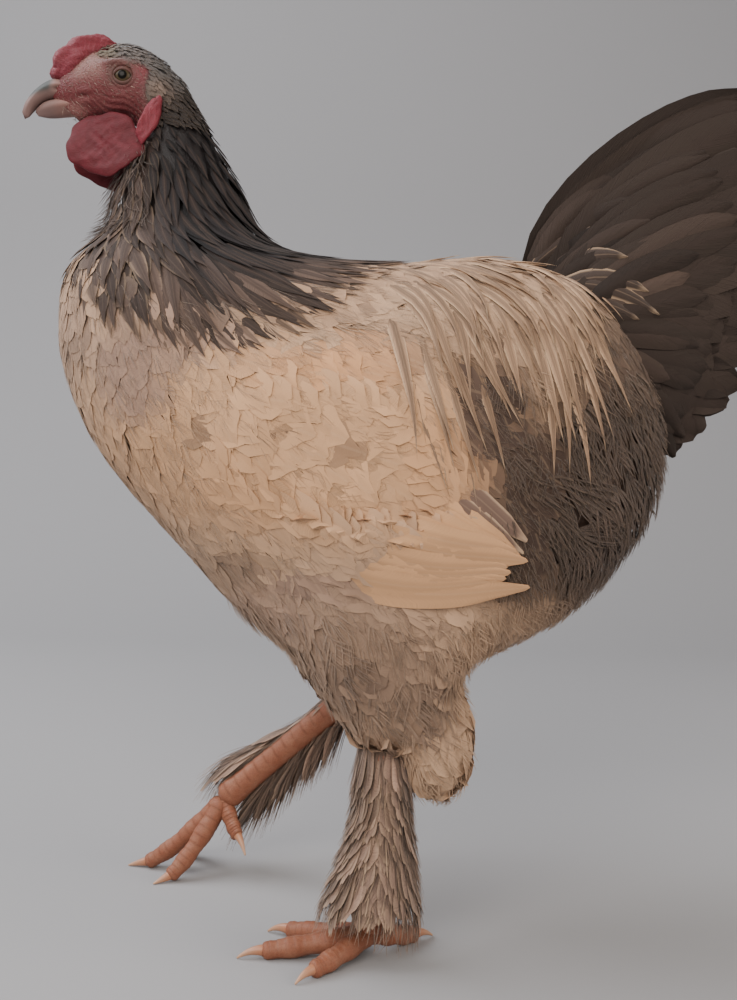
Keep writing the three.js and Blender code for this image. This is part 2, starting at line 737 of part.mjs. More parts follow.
// Tail: a tented body of down inside the fan of feathers.
const tailCore = (grow) => {
  const [around, rows] = [20, 6];
  const place = (share, turn, way) => {
    const edge = tailCurve.getPointAt(turn);
    const spread = share * (1 + grow / tailMiddle.distanceTo(edge));
    const [x, z] = ["x", "z"].map((k) => mix(tailMiddle[k], edge[k], spread));
    return point(x, way * (tailHalf(x, z) + grow), z);
  };
  const rings = [];
  for (let r = 1; r < rows; r++) {
    const lean = Math.PI * (r / rows);
    const way = Math.sign(Math.cos(lean) || 1);
    rings.push(Array.from({ length: around }, (_, c) => place(Math.sin(lean), c / around, way)));
  }
  return skin(rings, place(0, 0, 1), place(0, 0, -1));
};

// Tail feathers on one side: a fan of main feathers under tiers of shorter, more bent coverts.
function tailFeathers(side) {
  return TAIL.tiers.flatMap(({ pairs, angles, tips, from, half, lift, bend }) =>
    Array.from({ length: pairs }, (_, i) => {
      const t = i / (pairs - 1);
      const angle = radians(mix(...angles, t) + vary(2));
      const reach = mix(...tips, t) + vary(4);
      const spot = (share, height) => {
        const along = mix(from, reach, share);
        const sag = mix(...bend, t) * share ** 2;
        const x = TAIL.base[0] + along * Math.cos(angle) + sag * Math.sin(angle);
        const z = TAIL.base[1] + along * Math.sin(angle) - sag * Math.cos(angle);
        return point(x, side * (tailHalf(x, z) + height), z);
      };
      return laidVane(spot, lift, half, { outline: ROUNDED, sink: 14, rows: 4, tilt: side * TAIL.tilt });
    }),
  );
}

// Thigh: a deep cone of soft feathers from the belly to the hock, with a tuft behind the hock.
function thighForms({ side, hip, hock, thigh }) {
  const [hx, hy, hz] = hip;
  const [kx, ky, kz] = hock;
  const curve = new THREE.QuadraticBezierCurve3(
    point(hx, hy, hz),
    point(mix(hx, kx, 0.5), mix(hy, ky, 0.6), mix(hz, kz, 0.55)),
    point(kx, ky, kz + 2),
  );
  const girth = [[0, 1], [0.3, 0.98], [0.55, 0.84], [0.78, 0.58], [1, 0.27]];
  const size = (t) => [thigh[1] * smooth(girth, t), thigh[0] * smooth(girth, t)];
  const tuft = [kx + 36, ky - side * 4, kz + 2];
  return [
    (grow) => tube(curve, size, { sides: 11, steps: 6, grow }),
    (grow) => bulb(tuft, [25, 21, 38], { sides: 10, rows: 7, tilt: -8, grow }),
    (grow) => bulb([kx + 14, ky, kz + 26], [32, 24, 24], { sides: 8, rows: 5, grow }),
  ];
}

// Shank: the scaled bone between hock and ball, with boot feathers down its outer side.
function shankCore({ hock, ball }) {
  const curve = new THREE.LineCurve3(point(...hock), point(...ball));
  const { hock: top, radius, ball: foot } = SHANK;
  const girth = [[0, top], [0.14, radius + 1], [0.5, radius], [0.84, radius + 0.8], [1, foot]];
  return (grow) =>
    tube(curve, (t) => [smooth(girth, t) * 0.94, smooth(girth, t)], { sides: 10, steps: 7, grow });
}

// Boot: a bell of down on the shank's outer side, with feathers over it that reach the floor.
function bootSpot({ hock, ball, side, full }) {
  const [kx, ky, kz] = hock;
  const [bx, by, bz] = ball;
  const curve = new THREE.QuadraticBezierCurve3(
    point(mix(kx, bx, 0.12), mix(ky, by, 0.12) + side * 2, mix(kz, bz, 0.12)),
    point(mix(kx, bx, 0.5) + 4, mix(ky, by, 0.5) + side * 8, mix(kz, bz, 0.5)),
    point(bx - 2, by + side * 12, bz + 6),
  );
  const girth = [[0, 6], [0.3, 14], [0.6, 24], [0.9, 32], [1, 31]].map(([t, r]) => [t, r * full]);
  return (turn, share, lift) => {
    const t = Math.min(share, 1);
    const tangent = curve.getTangent(t);
    const across = point(0, 1, 0).addScaledVector(tangent, -tangent.y).normalize();
    const third = tangent.clone().cross(across);
    const half = smooth(girth, t) + lift;
    return curve
      .getPoint(t)
      .addScaledVector(tangent, (share - t) * curve.getLength())
      .addScaledVector(across, half * 0.55 * Math.cos(turn))
      .addScaledVector(third, half * Math.sin(turn));
  };
}
function bootForms(leg) {
  const spot = bootSpot(leg);
  const around = 12;
  const turns = Array.from({ length: around }, (_, c) => (2 * Math.PI * c) / around);
  const bell = (grow) => {
    const rings = [0, 0.25, 0.5, 0.75, 0.92].map((share) =>
      turns.map((turn) => spot(turn, share, grow)),
    );
    const middle = (share) => spot(0, share, 0).add(spot(Math.PI, share, 0)).multiplyScalar(0.5);
    return skin(rings, middle(-0.02), middle(1 + grow / 100));
  };
  const outside = leg.side > 0 ? 0 : Math.PI;
  const feathers = BOOT.shares.flatMap(([from, to], tier) =>
    Array.from({ length: BOOT.count - tier }, (_, i) => {
      const turn = outside + radians(mix(-BOOT.sweep, BOOT.sweep, (i + 0.5) / (BOOT.count - tier)));
      const path = (share, height) => spot(turn, mix(from, to, share), height);
      return laidVane(path, 1.2 + 2.4 * tier, BOOT.half, { outline: FLARED, sink: 3.5 });
    }),
  );
  return [bell, ...feathers];
}

// Toes: padded tubes that bend down to the floor, each with a curved claw.
function toeCurve(ball, tip) {
  const start = point(...ball);
  const end = point(...tip);
  const knee = start.clone().lerp(end, 0.62);
  knee.z = mix(end.z, start.z, 0.2);
  return new THREE.QuadraticBezierCurve3(start, knee, end);
}
function toeForm(ball, { tip, halfWidth }) {
  const curve = toeCurve(ball, tip);
  const pad = (t) => 1 + 0.07 * Math.cos(6 * Math.PI * t);
  return (grow) =>
    tube(curve, (t) => [halfWidth * mix(1.12, 0.8, t) * pad(t), 6.9 * mix(1.1, 0.86, t) * pad(t)], {
      sides: 8,
      steps: 5,
      grow,
    });
}
function clawForm(ball, { tip, claw }) {
  const curve = toeCurve(ball, tip);
  const heading = curve.getTangent(1);
  const start = point(...tip).addScaledVector(heading, -3);
  const mid = start.clone().addScaledVector(heading, claw * 0.75);
  mid.z += 2.5;
  const end = start.clone().addScaledVector(heading, claw + 5);
  end.z = Math.max(end.z - 5, 0.8);
  const arc = new THREE.QuadraticBezierCurve3(start, mid, end);
  return (grow) =>
    tube(arc, (t) => [mix(3.6, 0.6, t), mix(4.1, 0.7, t)], { sides: 5, steps: 3, grow });
}

// Assembles the bird, each piece cut clear of those made before it.
const eyes = { left: eyeBall(-1), right: eyeBall(1) };
const eyeRoom = roomOf(Object.values(eyes));
const headForms = [headCore, lidRing(-1), lidRing(1)];
const headRoom = roomOf(headForms);
const upperRoom = roomOf([beakHalf(true)]);
const beakRoom = roomOf([beakHalf(true), beakHalf(false)]);
const combParts = combForms();
const combRoom = roomOf(combParts);

for (const [name, form] of Object.entries(eyes)) add(`eye_${name}`, joined([form]), "eye");
add("head", clearOf(joined(headForms), eyeRoom), "face");
add("beak_upper", clearOf(joined([beakHalf(true)]), headRoom), "horn");
add("beak_lower", clearOf(joined([beakHalf(false)]), headRoom, upperRoom), "horn");
add("comb", clearOf(joined(combParts), headRoom, beakRoom), "comb");

const leaves = {
  wattle_left: leaf(WATTLE, -1, 0, 12),
  wattle_right: leaf(WATTLE, 1, -4, 12),
  earlobe_left: leaf(LOBE, -1, 0, 22),
  earlobe_right: leaf(LOBE, 1, 0, 22),
};
let leafRoom = headRoom.add(beakRoom);
for (const [name, form] of Object.entries(leaves)) {
  add(name, clearOf(joined([form]), leafRoom), "comb");
  leafRoom = leafRoom.add(roomOf([form]));
}

const torsoForms = [torsoCore, ...saddleForms(-1), ...saddleForms(1)];
const torsoRoom = roomOf(torsoForms);
add("torso", clearOf(joined(torsoForms)), "cream");

const neckForms = [neckSkin, ...hackleForms()];
const neckRoom = roomOf(neckForms);
add("neck", clearOf(joined(neckForms), torsoRoom, leafRoom, combRoom), "slate");

let bodyRoom = torsoRoom.add(neckRoom);
for (const [name, side] of [["left", -1], ["right", 1]]) {
  const forms = [wingPad(side), ...wingFeathers(side)];
  add(`wing_${name}`, clearOf(joined(forms), bodyRoom), "buff");
  bodyRoom = bodyRoom.add(roomOf(forms));
}
const tail = [tailCore, ...tailFeathers(-1), ...tailFeathers(1)];
add("tail", clearOf(joined(tail), bodyRoom), "dark");
bodyRoom = bodyRoom.add(roomOf(tail));

for (const [name, leg] of Object.entries(LEGS)) {
  const thigh = thighForms(leg);
  add(`thigh_${name}`, clearOf(joined(thigh), bodyRoom), "fluff");
  const thighRoom = roomOf(thigh);
  const shank = [shankCore(leg), ...bootForms(leg)];
  add(`shank_${name}`, clearOf(joined(shank), thighRoom, below), "skin");
  let footRoom = joined(shank, GAP).add(thighRoom);
  for (const [kind, toe] of Object.entries(leg.toes)) {
    const form = [toeForm(leg.ball, toe)];
    add(`toe_${kind}_${name}`, clearOf(joined(form), footRoom, below), "skin");
    footRoom = footRoom.add(roomOf(form));
    add(`claw_${kind}_${name}`, clearOf(joined([clawForm(leg.ball, toe)]), footRoom, below), "horn");
  }
}

export default bird;
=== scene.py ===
"""A life-size brahma cockerel: skin, plumage, head, legs and a plain studio.

Shapes are worked out in millimetres in the maker's frame, with the beak along -X, and placed by
placed(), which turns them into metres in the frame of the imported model.
"""

import math

import bmesh
import bpy
import numpy as np
from bpy.props import FloatProperty, FloatVectorProperty, IntProperty, PointerProperty
from mathutils import Matrix, Vector, kdtree


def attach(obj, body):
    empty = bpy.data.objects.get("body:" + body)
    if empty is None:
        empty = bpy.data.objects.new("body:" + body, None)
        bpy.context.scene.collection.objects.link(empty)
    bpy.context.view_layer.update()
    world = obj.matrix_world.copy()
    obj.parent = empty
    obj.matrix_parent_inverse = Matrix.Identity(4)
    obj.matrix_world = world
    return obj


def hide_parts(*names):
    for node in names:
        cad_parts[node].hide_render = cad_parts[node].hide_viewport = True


bl_info = {
    "name": "Brahma Cockerel",
    "version": (1, 0, 0),
    "blender": (4, 5, 0),
    "location": "3D View > Sidebar > Brahma",
    "description": "Builds a life-size brahma cockerel with feathers as meshes",
    "category": "Add Mesh",
}

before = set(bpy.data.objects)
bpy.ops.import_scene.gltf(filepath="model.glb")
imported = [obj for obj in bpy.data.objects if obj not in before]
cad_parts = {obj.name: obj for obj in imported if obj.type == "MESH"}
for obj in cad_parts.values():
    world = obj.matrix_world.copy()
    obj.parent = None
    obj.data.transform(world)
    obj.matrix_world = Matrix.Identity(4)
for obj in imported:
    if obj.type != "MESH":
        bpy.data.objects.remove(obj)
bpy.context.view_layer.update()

# Where the maker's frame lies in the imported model, in millimetres.
SHIFT = np.array([-30.0, -4.0, 0.0])

# Torso: centre, half width, fullness of its sections and side outline as [degrees, radius].
TORSO = dict(x=-20, z=330, half=112, full=2.3)
TORSO_OUTLINE = [
    [-168, 146], [-150, 128], [-130, 126], [-112, 134], [-90, 150], [-68, 163], [-46, 178],
    [-24, 202], [-6, 220], [14, 218], [34, 203], [52, 168], [72, 136], [92, 131], [110, 147],
    [127, 186], [144, 223], [158, 209], [174, 178],
]
# Neck and head stations: height or place along the body, centre, and half sizes.
NECK = dict(
    x=[[405, -106], [445, -124], [478, -131], [510, -137], [538, -138], [560, -142], [576, -148],
       [584, -150], [591, -152]],
    deep=[[405, 53], [445, 55], [478, 53], [510, 45], [538, 30], [560, 21], [576, 17],
          [584, 14], [591, 7]],
    wide=[[405, 63], [445, 56], [478, 47], [510, 36], [538, 27], [560, 21], [576, 18],
          [584, 15], [591, 8]],
)
HEAD = dict(
    z=[[-222, 571], [-216, 573], [-204, 576], [-189, 579], [-173, 580], [-158, 578], [-146, 573],
       [-138, 567]],
    tall=[[-222, 8], [-216, 14], [-204, 20], [-189, 25], [-173, 26.5], [-158, 23.5], [-146, 17],
          [-138, 8]],
    wide=[[-222, 7], [-216, 11], [-204, 16], [-189, 20], [-173, 22.5], [-158, 21.5], [-146, 17],
          [-138, 9]],
)
EYE = dict(x=-172, z=579, radius=8, inset=14.8)
BEAK = dict(
    ridge=[(-200, 583), (-214, 583), (-226, 581), (-236, 574.5), (-243, 566), (-246, 558)],
    mouth=[(-200, 568), (-218, 568), (-229, 566), (-236, 561.5), (-241, 555)],
    jaw=[(-200, 558), (-214, 556.5), (-226, 555.3), (-235, 556.5)],
    half=9.5,
)
COMB = dict(
    curve=[(-217, 578), (-213, 592), (-201, 602), (-181, 605.5)],
    half=[[0, 9], [0.35, 10.8], [0.75, 8.6], [1, 4]],
)
WATTLE = dict(x=-184, z=534, long=28, tall=22, thick=3.4, out=18, splay=12, tilt=12, lean=10)
LOBE = dict(x=-153, z=549, long=6, tall=17, thick=3.8, out=24, splay=0, tilt=22, lean=0)

# Wing: side outline as [x, z] and how far the pad stands off the torso.
WING_OUTLINE = [
    [-124, 352], [-104, 390], [-44, 402], [28, 396], [72, 348], [92, 296], [96, 266], [72, 250],
    [24, 245], [-30, 250], [-76, 272], [-114, 303],
]
WING_PUFF = 13
# Rows of long wing feathers: two ends of the line of starts and of the line of tips, half width,
# height over the body and how pale their edges are.
FLIGHTS = dict(starts=((-34, 258), (26, 310)), tips=((99, 249), (97, 266)), half=9.5, high=5.5,
               rim=0.0)
GREY_FLIGHTS = dict(starts=((26, 304), (40, 326)), tips=((107, 257), (96, 284)), half=6.5,
                    high=3.5, rim=0.7, count=3)
# Tail: where the fan springs from, half thickness at base and end, side outline, and numbers of
# main feathers, coverts and small coverts on each side.
TAIL = dict(base=(118, 405), half_base=40, half_end=5, reach=150, middle=(190, 450), main=14,
            over=24, small=54)
TAIL_OUTLINE = [
    [112, 440], [128, 462], [150, 498], [184, 532], [226, 563], [262, 577], [276, 558], [270, 512],
    [252, 470], [238, 428], [228, 386], [208, 352], [170, 354], [126, 380],
]
# Dark pale-edged feathers behind the saddle: start and tip in the side view, half width, rise.
LACED = [
    [120, 442, 182, 441, 7, 8], [128, 434, 176, 422, 6, 4], [112, 452, 168, 464, 7, 6],
    [124, 431, 196, 367, 4.5, 3], [118, 430, 182, 366, 4.5, 3], [108, 460, 148, 486, 6, 4],
    [128, 446, 190, 426, 6, 5],
]
# Legs: joints and the tip of each toe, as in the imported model.
LEGS = {
    "left": dict(
        side=-1, hip=(14, -58, 250), hock=(14, -57, 139), ball=(8, -56, 15), full=1.0,
        toes=dict(
            inner=((-48, -30, 5), 6.6, 13), middle=((-62, -65, 5), 7.2, 14),
            outer=((-28, -92, 5), 6.6, 12), back=((40, -32, 5), 5.6, 12),
        ),
    ),
    "right": dict(
        side=1, hip=(-14, 58, 250), hock=(-14, 72, 142), ball=(-107, 88, 58), full=0.74,
        toes=dict(
            inner=((-145, 64, 4), 6.6, 13), middle=((-168, 94, 4), 7.2, 14),
            outer=((-142, 121, 4), 6.6, 12), back=((-94, 72, 34), 5.4, 11),
        ),
    ),
}
SHANK_GIRTH = [[0, 13], [0.14, 10], [0.5, 9], [0.84, 9.8], [1, 12.5]]
THIGH = dict(half=(60, 50), girth=[[0, 1], [0.3, 0.98], [0.55, 0.84], [0.78, 0.58], [1, 0.27]])

# Which way the coat lies in the side view: place x, z, reach, and direction.
LIE = [
    (-150, 560, 26, (0.9, 0, -0.7)),
    (-143, 510, 34, (0.22, 0, -1)),
    (-118, 440, 40, (0.36, 0, -1)),
    (-60, 445, 34, (0.9, 0, -0.75)),
    (-205, 340, 50, (0.15, 0, -1)),
    (-130, 300, 60, (0.65, 0, -1)),
    (-70, 350, 45, (0.95, 0, -0.55)),
    (20, 330, 60, (1, 0, -0.45)),
    (-10, 455, 40, (1, 0, -0.3)),
    (60, 440, 40, (0.75, 0.2, -0.8)),
    (110, 400, 50, (0.45, 0, -1)),
    (150, 300, 60, (0.45, 0, -1)),
    (60, 210, 50, (0.5, 0, -1)),
    (0, 180, 50, (0.2, 0, -1)),
    (-70, 230, 50, (0.8, 0, -0.8)),
]


# Numbers and fields. Every function takes whole arrays.
def smooth(rows, x, period=None):
    """Cubic through the rows [x, y], each row's slope being that between its two neighbours."""
    xs, ys = np.array(rows, float).T
    x = np.asarray(x, float)
    if period:
        xs = np.r_[xs[-2:] - period, xs, xs[:2] + period]
        ys = np.r_[ys[-2:], ys, ys[:2]]
        x = (x - xs[2]) % period + xs[2]
    inner = (ys[2:] - ys[:-2]) / (xs[2:] - xs[:-2])
    ends = np.diff(ys)[[0, -1]] / np.diff(xs)[[0, -1]]
    slope = np.r_[ends[0], inner, ends[1]]
    i = np.clip(np.searchsorted(xs, x, "right") - 1, 0, len(xs) - 2)
    step = xs[i + 1] - xs[i]
    t = np.clip((x - xs[i]) / step, 0, 1)
    rise = ys[i] * (2 * t**3 - 3 * t**2 + 1) + ys[i + 1] * (3 * t**2 - 2 * t**3)
    return rise + step * (slope[i] * (t**3 - 2 * t**2 + t) + slope[i + 1] * (t**3 - t**2))


def mix(a, b, t):
    return a + (b - a) * t


def ease(x, low, high):
    """0 below low, 1 above high, and the smooth cubic step between."""
    t = np.clip((np.asarray(x, float) - low) / (high - low), 0, 1)
    return t * t * (3 - 2 * t)


def unit(v):
    return v / np.maximum(np.linalg.norm(v, axis=-1, keepdims=True), 1e-9)


def blend(a, b, width):
    """Lesser of two heights, with a fillet of the given width where they meet."""
    return np.minimum(a, b) - np.maximum(width - np.abs(a - b), 0) ** 2 / (4 * width)


def polar_share(outline, middle):
    """Function of x and z: distance from the middle over the outline's distance that way."""
    ring = np.array(outline, float) - middle
    turn = np.degrees(np.arctan2(ring[:, 1], ring[:, 0]))
    rows = np.c_[turn, np.hypot(*ring.T)][np.argsort(turn)]

    def share(x, z):
        dx, dz = x - middle[0], z - middle[1]
        return np.hypot(dx, dz) / smooth(rows, np.degrees(np.arctan2(dz, dx)), 360)

    return share


WING_MIDDLE = tuple(np.mean(WING_OUTLINE, axis=0))
wing_share = polar_share(WING_OUTLINE, WING_MIDDLE)
tail_share = polar_share(TAIL_OUTLINE, TAIL["middle"])


def torso_height(p):
    """Height over the torso: a star-shaped body whose sections are powered ovals."""
    dx, y, dz = p[:, 0] - TORSO["x"], np.abs(p[:, 1]), p[:, 2] - TORSO["z"]
    radius = smooth(TORSO_OUTLINE, np.degrees(np.arctan2(dz, dx)), 360)
    full = TORSO["full"]
    depth = ((np.hypot(dx, dz) / radius) ** full + (y / TORSO["half"]) ** full) ** (1 / full)
    away = np.sqrt(dx**2 + y**2 + dz**2)
    return away - away / np.maximum(depth, 1e-3)


def oval_height(across, a, y, b):
    """Height over an oval section with half sizes a and b."""
    return (np.sqrt((across / a) ** 2 + (y / b) ** 2) - 1) * np.minimum(a, b)


def neck_height(p):
    z = np.clip(p[:, 2], 405, 591)
    side = oval_height(p[:, 0] - smooth(NECK["x"], z), smooth(NECK["deep"], z),
                       p[:, 1], smooth(NECK["wide"], z))
    return np.maximum(side, np.maximum(400 - p[:, 2], p[:, 2] - 592))


def head_height(p):
    x = np.clip(p[:, 0], -222, -138)
    side = oval_height(p[:, 2] - smooth(HEAD["z"], x), smooth(HEAD["tall"], x),
                       p[:, 1], smooth(HEAD["wide"], x))
    return np.maximum(side, np.maximum(-223 - p[:, 0], p[:, 0] + 137))


def ball_height(p, centre, half):
    half = np.array(half, float)
    return (np.linalg.norm((p - centre) / half, axis=1) - 1) * half.min()


def thigh_height(p, leg):
    """Height over one thigh: an oval cone from hip to hock, with a tuft behind the hock."""
    (hx, hy, hz), (kx, ky, kz) = leg["hip"], leg["hock"]
    t = np.clip((hz - p[:, 2]) / (hz - kz), 0, 1)
    girth = smooth(THIGH["girth"], t)
    bow = 0.4 * t * (1 - t)
    x, y = mix(hx, kx, t), mix(hy, ky, t + bow)
    cone = oval_height(p[:, 0] - x, THIGH["half"][0] * girth, p[:, 1] - y, THIGH["half"][1] * girth)
    cone = np.maximum(cone, np.maximum(kz - p[:, 2], p[:, 2] - hz - 14))
    behind = ball_height(p, (kx + 14, ky, kz + 26), (32, 24, 24))
    tuft = ball_height(p, (kx + 34, ky - leg["side"] * 4, kz + 2), (25, 21, 37))
    return blend(blend(cone, behind, 10), tuft, 8)


def wing_pad(p):
    """How far the folded wing lifts the coat at each place."""
    share = wing_share(p[:, 0], p[:, 2])
    return WING_PUFF * ease(np.abs(p[:, 1]), 45, 75) * ease(share, 1.08, 0.45)


def body_height(p):
    """Height over the bird's outer form, all flesh and plumage blended into one."""
    height = torso_height(p)
    near = (p[:, 2] > 360) & (p[:, 0] < 20)
    if near.any():
        q = p[near]
        height[near] = blend(blend(height[near], neck_height(q), 24), head_height(q), 12)
        chin = np.hypot(np.hypot((q[:, 0] + 205) / 15, q[:, 1] / 10), (q[:, 2] - 558) / 9)
        height[near] = blend(height[near], (chin - 1) * 9, 5)
    low = p[:, 2] < 290
    if low.any():
        q = p[low]
        for leg in LEGS.values():
            height[low] = blend(height[low], thigh_height(q, leg), 22)
    return height - wing_pad(p)


def slope_at(p, step=0.7):
    """Height, outward direction and steepness of the outer form, by central differences."""
    ways = np.eye(3) * step
    slope = np.stack([body_height(p + w) - body_height(p - w) for w in ways], 1) / (2 * step)
    steep = np.maximum(np.linalg.norm(slope, axis=1), 0.25)
    return body_height(p), slope / steep[:, None], steep


def settle(p, lift, times=2):
    """Points moved straight out or in until they stand at lift over the outer form."""
    for _ in range(times):
        height, out, steep = slope_at(p)
        p = p + out * np.clip((lift - height) / steep, -25, 25)[:, None]
    return p


def bare(p):
    """1 on the bare face, 0 where feathers grow."""
    x, z = p[:, 0], p[:, 2]
    face = ease(x, -151, -158) * ease(z, 536, 544)
    crown = ease(z - 587 - 0.2 * (-175 - x), 0, 6) * ease(x, -196, -188)
    ear = np.exp(-(((x + 149) / 9) ** 2) - ((z - 570) / 8) ** 2)
    return np.clip(face - crown - ear, 0, 1)


def coat_depth(p):
    """How far the skin lies inside the outer form: thin at the head and deep on the body."""
    head = ease(p[:, 2], 480, 560) * ease(p[:, 0], -60, -100)
    thigh = ease(p[:, 2], 230, 180)
    return mix(mix(8.0, 10.0, thigh), mix(2.6, 0.3, bare(p)), head)


def lie_of(p):
    """Direction of the coat at each place, as a weighted mean of the named directions."""
    total = np.tile([0.02, 0, -0.01], (len(p), 1))
    for x, z, reach, (a, b, c) in LIE:
        weight = np.exp(-((p[:, 0] - x) ** 2 + (p[:, 2] - z) ** 2) / (2 * reach**2))
        total += weight[:, None] * np.c_[np.full(len(p), a), b * np.sign(p[:, 1]),
                                         np.full(len(p), c)]
    return total


# Meshes.
def placed(points):
    return (np.asarray(points, float) + SHIFT) * 0.001


def paint(mesh, name, colours, alpha=1.0):
    """A colour with an alpha on every point of the mesh, under the name of an attribute."""
    values = np.ones((len(colours), 4), np.float32)
    values[:, :3] = colours
    values[:, 3] = alpha
    layer = mesh.color_attributes.new(name=name, type="FLOAT_COLOR", domain="POINT")
    layer.data.foreach_set("color", values.ravel())


def make_piece(name, points, faces, material, maps=None, tones=None, marks=None,
               replaces=()):
    """A mesh object from points in millimetres, faces as arrays of quads or triangles, loop
    maps from points' own map places, and point colours. It rides on the bird's one body."""
    faces = [f for f in faces if len(f)]
    loops = np.concatenate([f.ravel() for f in faces]).astype(np.int32)
    sizes = np.concatenate([np.full(len(f), f.shape[1]) for f in faces])
    mesh = bpy.data.meshes.new(name)
    mesh.vertices.add(len(points))
    mesh.vertices.foreach_set("co", placed(points).astype(np.float32).ravel())
    mesh.loops.add(len(loops))
    mesh.loops.foreach_set("vertex_index", loops)
    mesh.polygons.add(len(sizes))
    mesh.polygons.foreach_set("loop_start", (np.cumsum(sizes) - sizes).astype(np.int32))
    mesh.update(calc_edges=True)
    mesh.shade_smooth()
    for key, places in (maps or {}).items():
        layer = mesh.uv_layers.new(name=key)
        layer.data.foreach_set("uv", places[loops].astype(np.float32).ravel())
    for key, values in (("coat", tones), ("marks", marks)):
        if values is not None:
            paint(mesh, key, values)
    mesh.materials.append(material)
    piece = bpy.data.objects.new(name, mesh)
    bpy.context.scene.collection.objects.link(piece)
    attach(piece, "root")
    if replaces:
        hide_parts(*replaces)
    return piece


def loft(rings, start, end):
    """Closed skin through rings of points (rings, sides, 3), with a fan to a point at each end."""
    rows, sides = rings.shape[:2]
    grid = np.arange(rows * sides).reshape(rows, sides)
    a, b = grid[:-1], grid[1:]
    quads = np.stack([a, np.roll(a, -1, 1), np.roll(b, -1, 1), b], -1).reshape(-1, 4)
    first, last = rows * sides, rows * sides + 1
    fans = [
        np.stack([np.full(sides, first), np.roll(grid[0], -1), grid[0]], -1),
        np.stack([np.full(sides, last), grid[-1], np.roll(grid[-1], -1)], -1),
    ]
    points = np.concatenate([rings.reshape(-1, 3), [start], [end]])
    return points, quads, np.concatenate(fans)


def outward(points, quads, tris):
    """The same faces, turned round if the closed shape's volume comes out negative."""
    a, b, c = points[quads[:, 0]], points[quads[:, 1]], points[quads[:, 2]]
    d = points[quads[:, 3]]
    volume = np.einsum("ij,ij->", a, np.cross(b, c)) + np.einsum("ij,ij->", a, np.cross(c, d))
    a, b, c = (points[tris[:, i]] for i in range(3))
    volume += np.einsum("ij,ij->", a, np.cross(b, c))
    return (quads, tris) if volume > 0 else (quads[:, ::-1], tris[:, ::-1])


def tube(centres, a, b, sides=24, up=(0, 1, 0)):
    """Closed tube round a line of centres, with half sizes a across and b along the third way."""
    centres = np.asarray(centres, float)
    along = unit(np.gradient(centres, axis=0))
    across = unit(np.array(up, float) - along * (along @ np.array(up, float))[:, None])
    third = np.cross(along, across)
    turn = np.linspace(0, 2 * np.pi, sides, endpoint=False)
    rings = (
        centres[:, None]
        + (across * np.asarray(a)[:, None])[:, None] * np.cos(turn)[:, None]
        + (third * np.asarray(b)[:, None])[:, None] * np.sin(turn)[:, None]
    )
    points, quads, tris = loft(rings, centres[0], centres[-1])
    return (points, *outward(points, quads, tris))


def bezier(points, t):
    """Quadratic curve through its three control points at each t."""
    a, b, c = (np.array(p, float) for p in points)
    t = np.asarray(t, float)[:, None]
    return a * (1 - t) ** 2 + 2 * b * t * (1 - t) + c * t**2


def catmull(points, t):
    """Smooth curve through all the points, evenly in t, by the cubic of smooth()."""
    points = np.array(points, float)
    knots = np.linspace(0, 1, len(points))
    return np.stack([smooth(np.c_[knots, column], t) for column in points.T], -1)


# Feathers.
def steps(rows):
    """Shares of the length at which a feather's rows lie, closer together towards the tip."""
    return np.sin(np.linspace(0, np.pi / 2, rows))


LANCE = [[0, 0.3], [0.15, 0.8], [0.45, 1], [0.75, 0.72], [0.92, 0.34], [1, 0.05]]
OVAL = [[0, 0.3], [0.2, 0.8], [0.55, 1], [0.8, 0.92], [0.93, 0.62], [1, 0.18]]
FAN = [[0, 0.25], [0.4, 0.7], [0.75, 1], [0.92, 0.95], [1, 0.75]]
BROAD = [[0, 0.35], [0.2, 0.8], [0.55, 1], [0.85, 0.95], [1, 0.5]]
QUILLED = [[0, 0.5], [0.2, 1], [0.7, 0.95], [0.88, 0.88], [0.96, 0.78], [1, 0.6]]
WISP = [[0, 1], [0.5, 0.75], [1, 0.1]]


def lay(roots, length, rows, lift, yaw=0, way=lie_of, bend=0):
    """Middle lines of feathers: from each root a walk in even steps along the coat's lie, turned
    by yaw and steadily by bend, held at lift(share) over the outer form. Gives the lines and
    their outward directions, both (feathers, rows, 3)."""
    lines, outs = [], []
    p = roots
    shares = steps(rows)
    for share, step in zip(shares, np.diff(shares, append=1)):
        p = settle(p, lift(share), 2)
        _, out, _ = slope_at(p)
        lines.append(p)
        outs.append(out)
        heading = way(p)
        heading = unit(heading - out * np.sum(heading * out, 1)[:, None])
        angle = np.broadcast_to(yaw + bend * share, len(p))[:, None]
        heading = heading * np.cos(angle) + np.cross(out, heading) * np.sin(angle)
        p = p + heading * (length * step)[:, None]
    return np.stack(lines, 1), np.stack(outs, 1)


